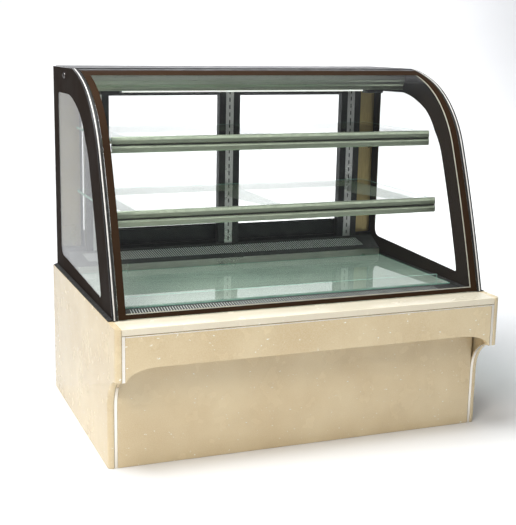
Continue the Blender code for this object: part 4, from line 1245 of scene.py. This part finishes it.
def controls():
    """Control box with a dark display window, its bezel and indicators."""
    refined("control_box", BLACK_PLASTIC, bevel=0.0006)
    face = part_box("control_box")[1].y
    pane = rectangle(*DISPLAY_WINDOW, 0.0006)
    window = prism(pane, "Y", face - 0.0013, face - 0.0004)
    piece("display_window", window, DISPLAY, bevel=0.0003)
    outer = rounded(rectangle(*DISPLAY_WINDOW, -0.003), 0.003)
    inner = rounded(rectangle(*DISPLAY_WINDOW, 0.0002), 0.001)
    bezel = holed_plate(outer, [inner], "Y", face, face + 0.0008)
    piece("display_bezel", bezel, GREY_PLASTIC)
    profile = [(0.0014, face - 0.0005), (0.0012, face + 0.0006)]
    dots = [turned(profile, (x, 0.0, z), "Y", 14) for x, z in INDICATORS]
    piece("indicator_lenses", join(dots), GREEN_LED)


# Machinery


def coils():
    """Finned coils with their copper bends."""
    for node, rows in (("condenser_coil", 4), ("evaporator_coil", 3)):
        refined(node, FINS, bevel=0.0)
        coil_bends(node, rows)


def coil_bends(node, rows):
    """Copper return bends at both ends of a coil."""
    low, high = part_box(node)
    bends = []
    pitch = (high.z - low.z) / (rows + 0.6)
    for side, x in ((-1, low.x), (1, high.x)):
        for row in range(rows):
            z = low.z + pitch * (row + 0.8)
            points = []
            for k in range(9):
                angle = math.pi * k / 8
                y = (low.y + high.y) / 2 - 0.011 * math.cos(angle)
                points.append((x + side * (0.002 + 0.010 * math.sin(angle)), y, z))
            points = [(x - side * 0.001, points[0][1], z), *points, (x - side * 0.001, points[-1][1], z)]
            bends.append(tube(points, 0.0045))
    piece(f"{node}_bends", join(bends), COPPER)


# Room


def sweep():
    """Pale seamless sweep under and behind the case."""
    bm = bmesh.new()
    rings = []
    for x in (-SWEEP_HALF, SWEEP_HALF):
        points = [(SWEEP_FRONT, SWEEP_FLOOR)]
        for k in range(13):
            angle = math.radians(90 * k / 12)
            out, up = SWEEP_RADIUS * math.sin(angle), SWEEP_RADIUS * (1 - math.cos(angle))
            points.append((SWEEP_BEND + out, SWEEP_FLOOR + up))
        points.append((SWEEP_BEND + SWEEP_RADIUS, SWEEP_TOP))
        rings.append([bm.verts.new((x, y, z)) for y, z in points])
    for i in range(len(rings[0]) - 1):
        bm.faces.new((rings[0][i], rings[1][i], rings[1][i + 1], rings[0][i + 1]))
    mesh = bpy.data.meshes.new("sweep")
    bm.to_mesh(mesh)
    bm.free()
    mesh.shade_smooth()
    paper = put("sweep", mesh)
    f = Finish("sweep_paper", (0.90, 0.91, 0.93), 0.85)
    f.set("Base Color", f.mix(f.noise(2.0, 3.0), (0.89, 0.90, 0.925), (0.92, 0.925, 0.94)))
    mesh.materials.append(f.material)


def lights():
    """An even pale surround and the soft lights."""
    world = bpy.data.worlds.new("world")
    bpy.context.scene.world = world
    world.use_nodes = True
    sky = world.node_tree.nodes["Background"]
    sky.inputs["Color"].default_value = (0.95, 0.975, 1.0, 1.0)
    sky.inputs["Strength"].default_value = 0.20
    for name, place, target, size, tint, power in LIGHTS:
        light = bpy.data.lights.new(name, "AREA")
        light.size = size
        light.color = tint
        light.energy = power
        lamp = put(name, light)
        lamp.location = place
        lamp.rotation_euler = (Vector(place) - Vector(target)).to_track_quat("Z", "Y").to_euler()


def camera():
    data = bpy.data.cameras.new("camera")
    data.lens = CAMERA_LENS
    data.shift_x = CAMERA_SHIFT
    obj = put("camera", data)
    right = Vector(CAMERA_RIGHT).normalized()
    up = Vector(CAMERA_UP)
    up = (up - right * up.dot(right)).normalized()
    back = right.cross(up)
    turn = Matrix((right, up, back)).transposed().to_4x4()
    obj.matrix_world = Matrix.Translation(CAMERA_PLACE) @ turn
    bpy.context.scene.camera = obj


def render_depth():
    """Light has to pass many glass faces, and colours stay as they are."""
    scene = bpy.context.scene
    scene.cycles.max_bounces = 24
    scene.cycles.transmission_bounces = 24
    scene.cycles.transparent_max_bounces = 32
    scene.view_settings.view_transform = "Standard"


plain_pieces()
# The ledge gets the lighter stone copy: painted light from above
refined("stone_ledge", STONE_PAINTED_LIGHT, bevel=0.0)
stone_joints()
side_seals()
deck_strips()
front_pane()
end_panes()
edge_trims()
hinge_knobs()
bolts()
front_grille()
rear_grille()
deck()
shelves()
posts()
canopy()
doors()
service_panel()
controls()
coils()
sweep()
lights()
camera()
render_depth()
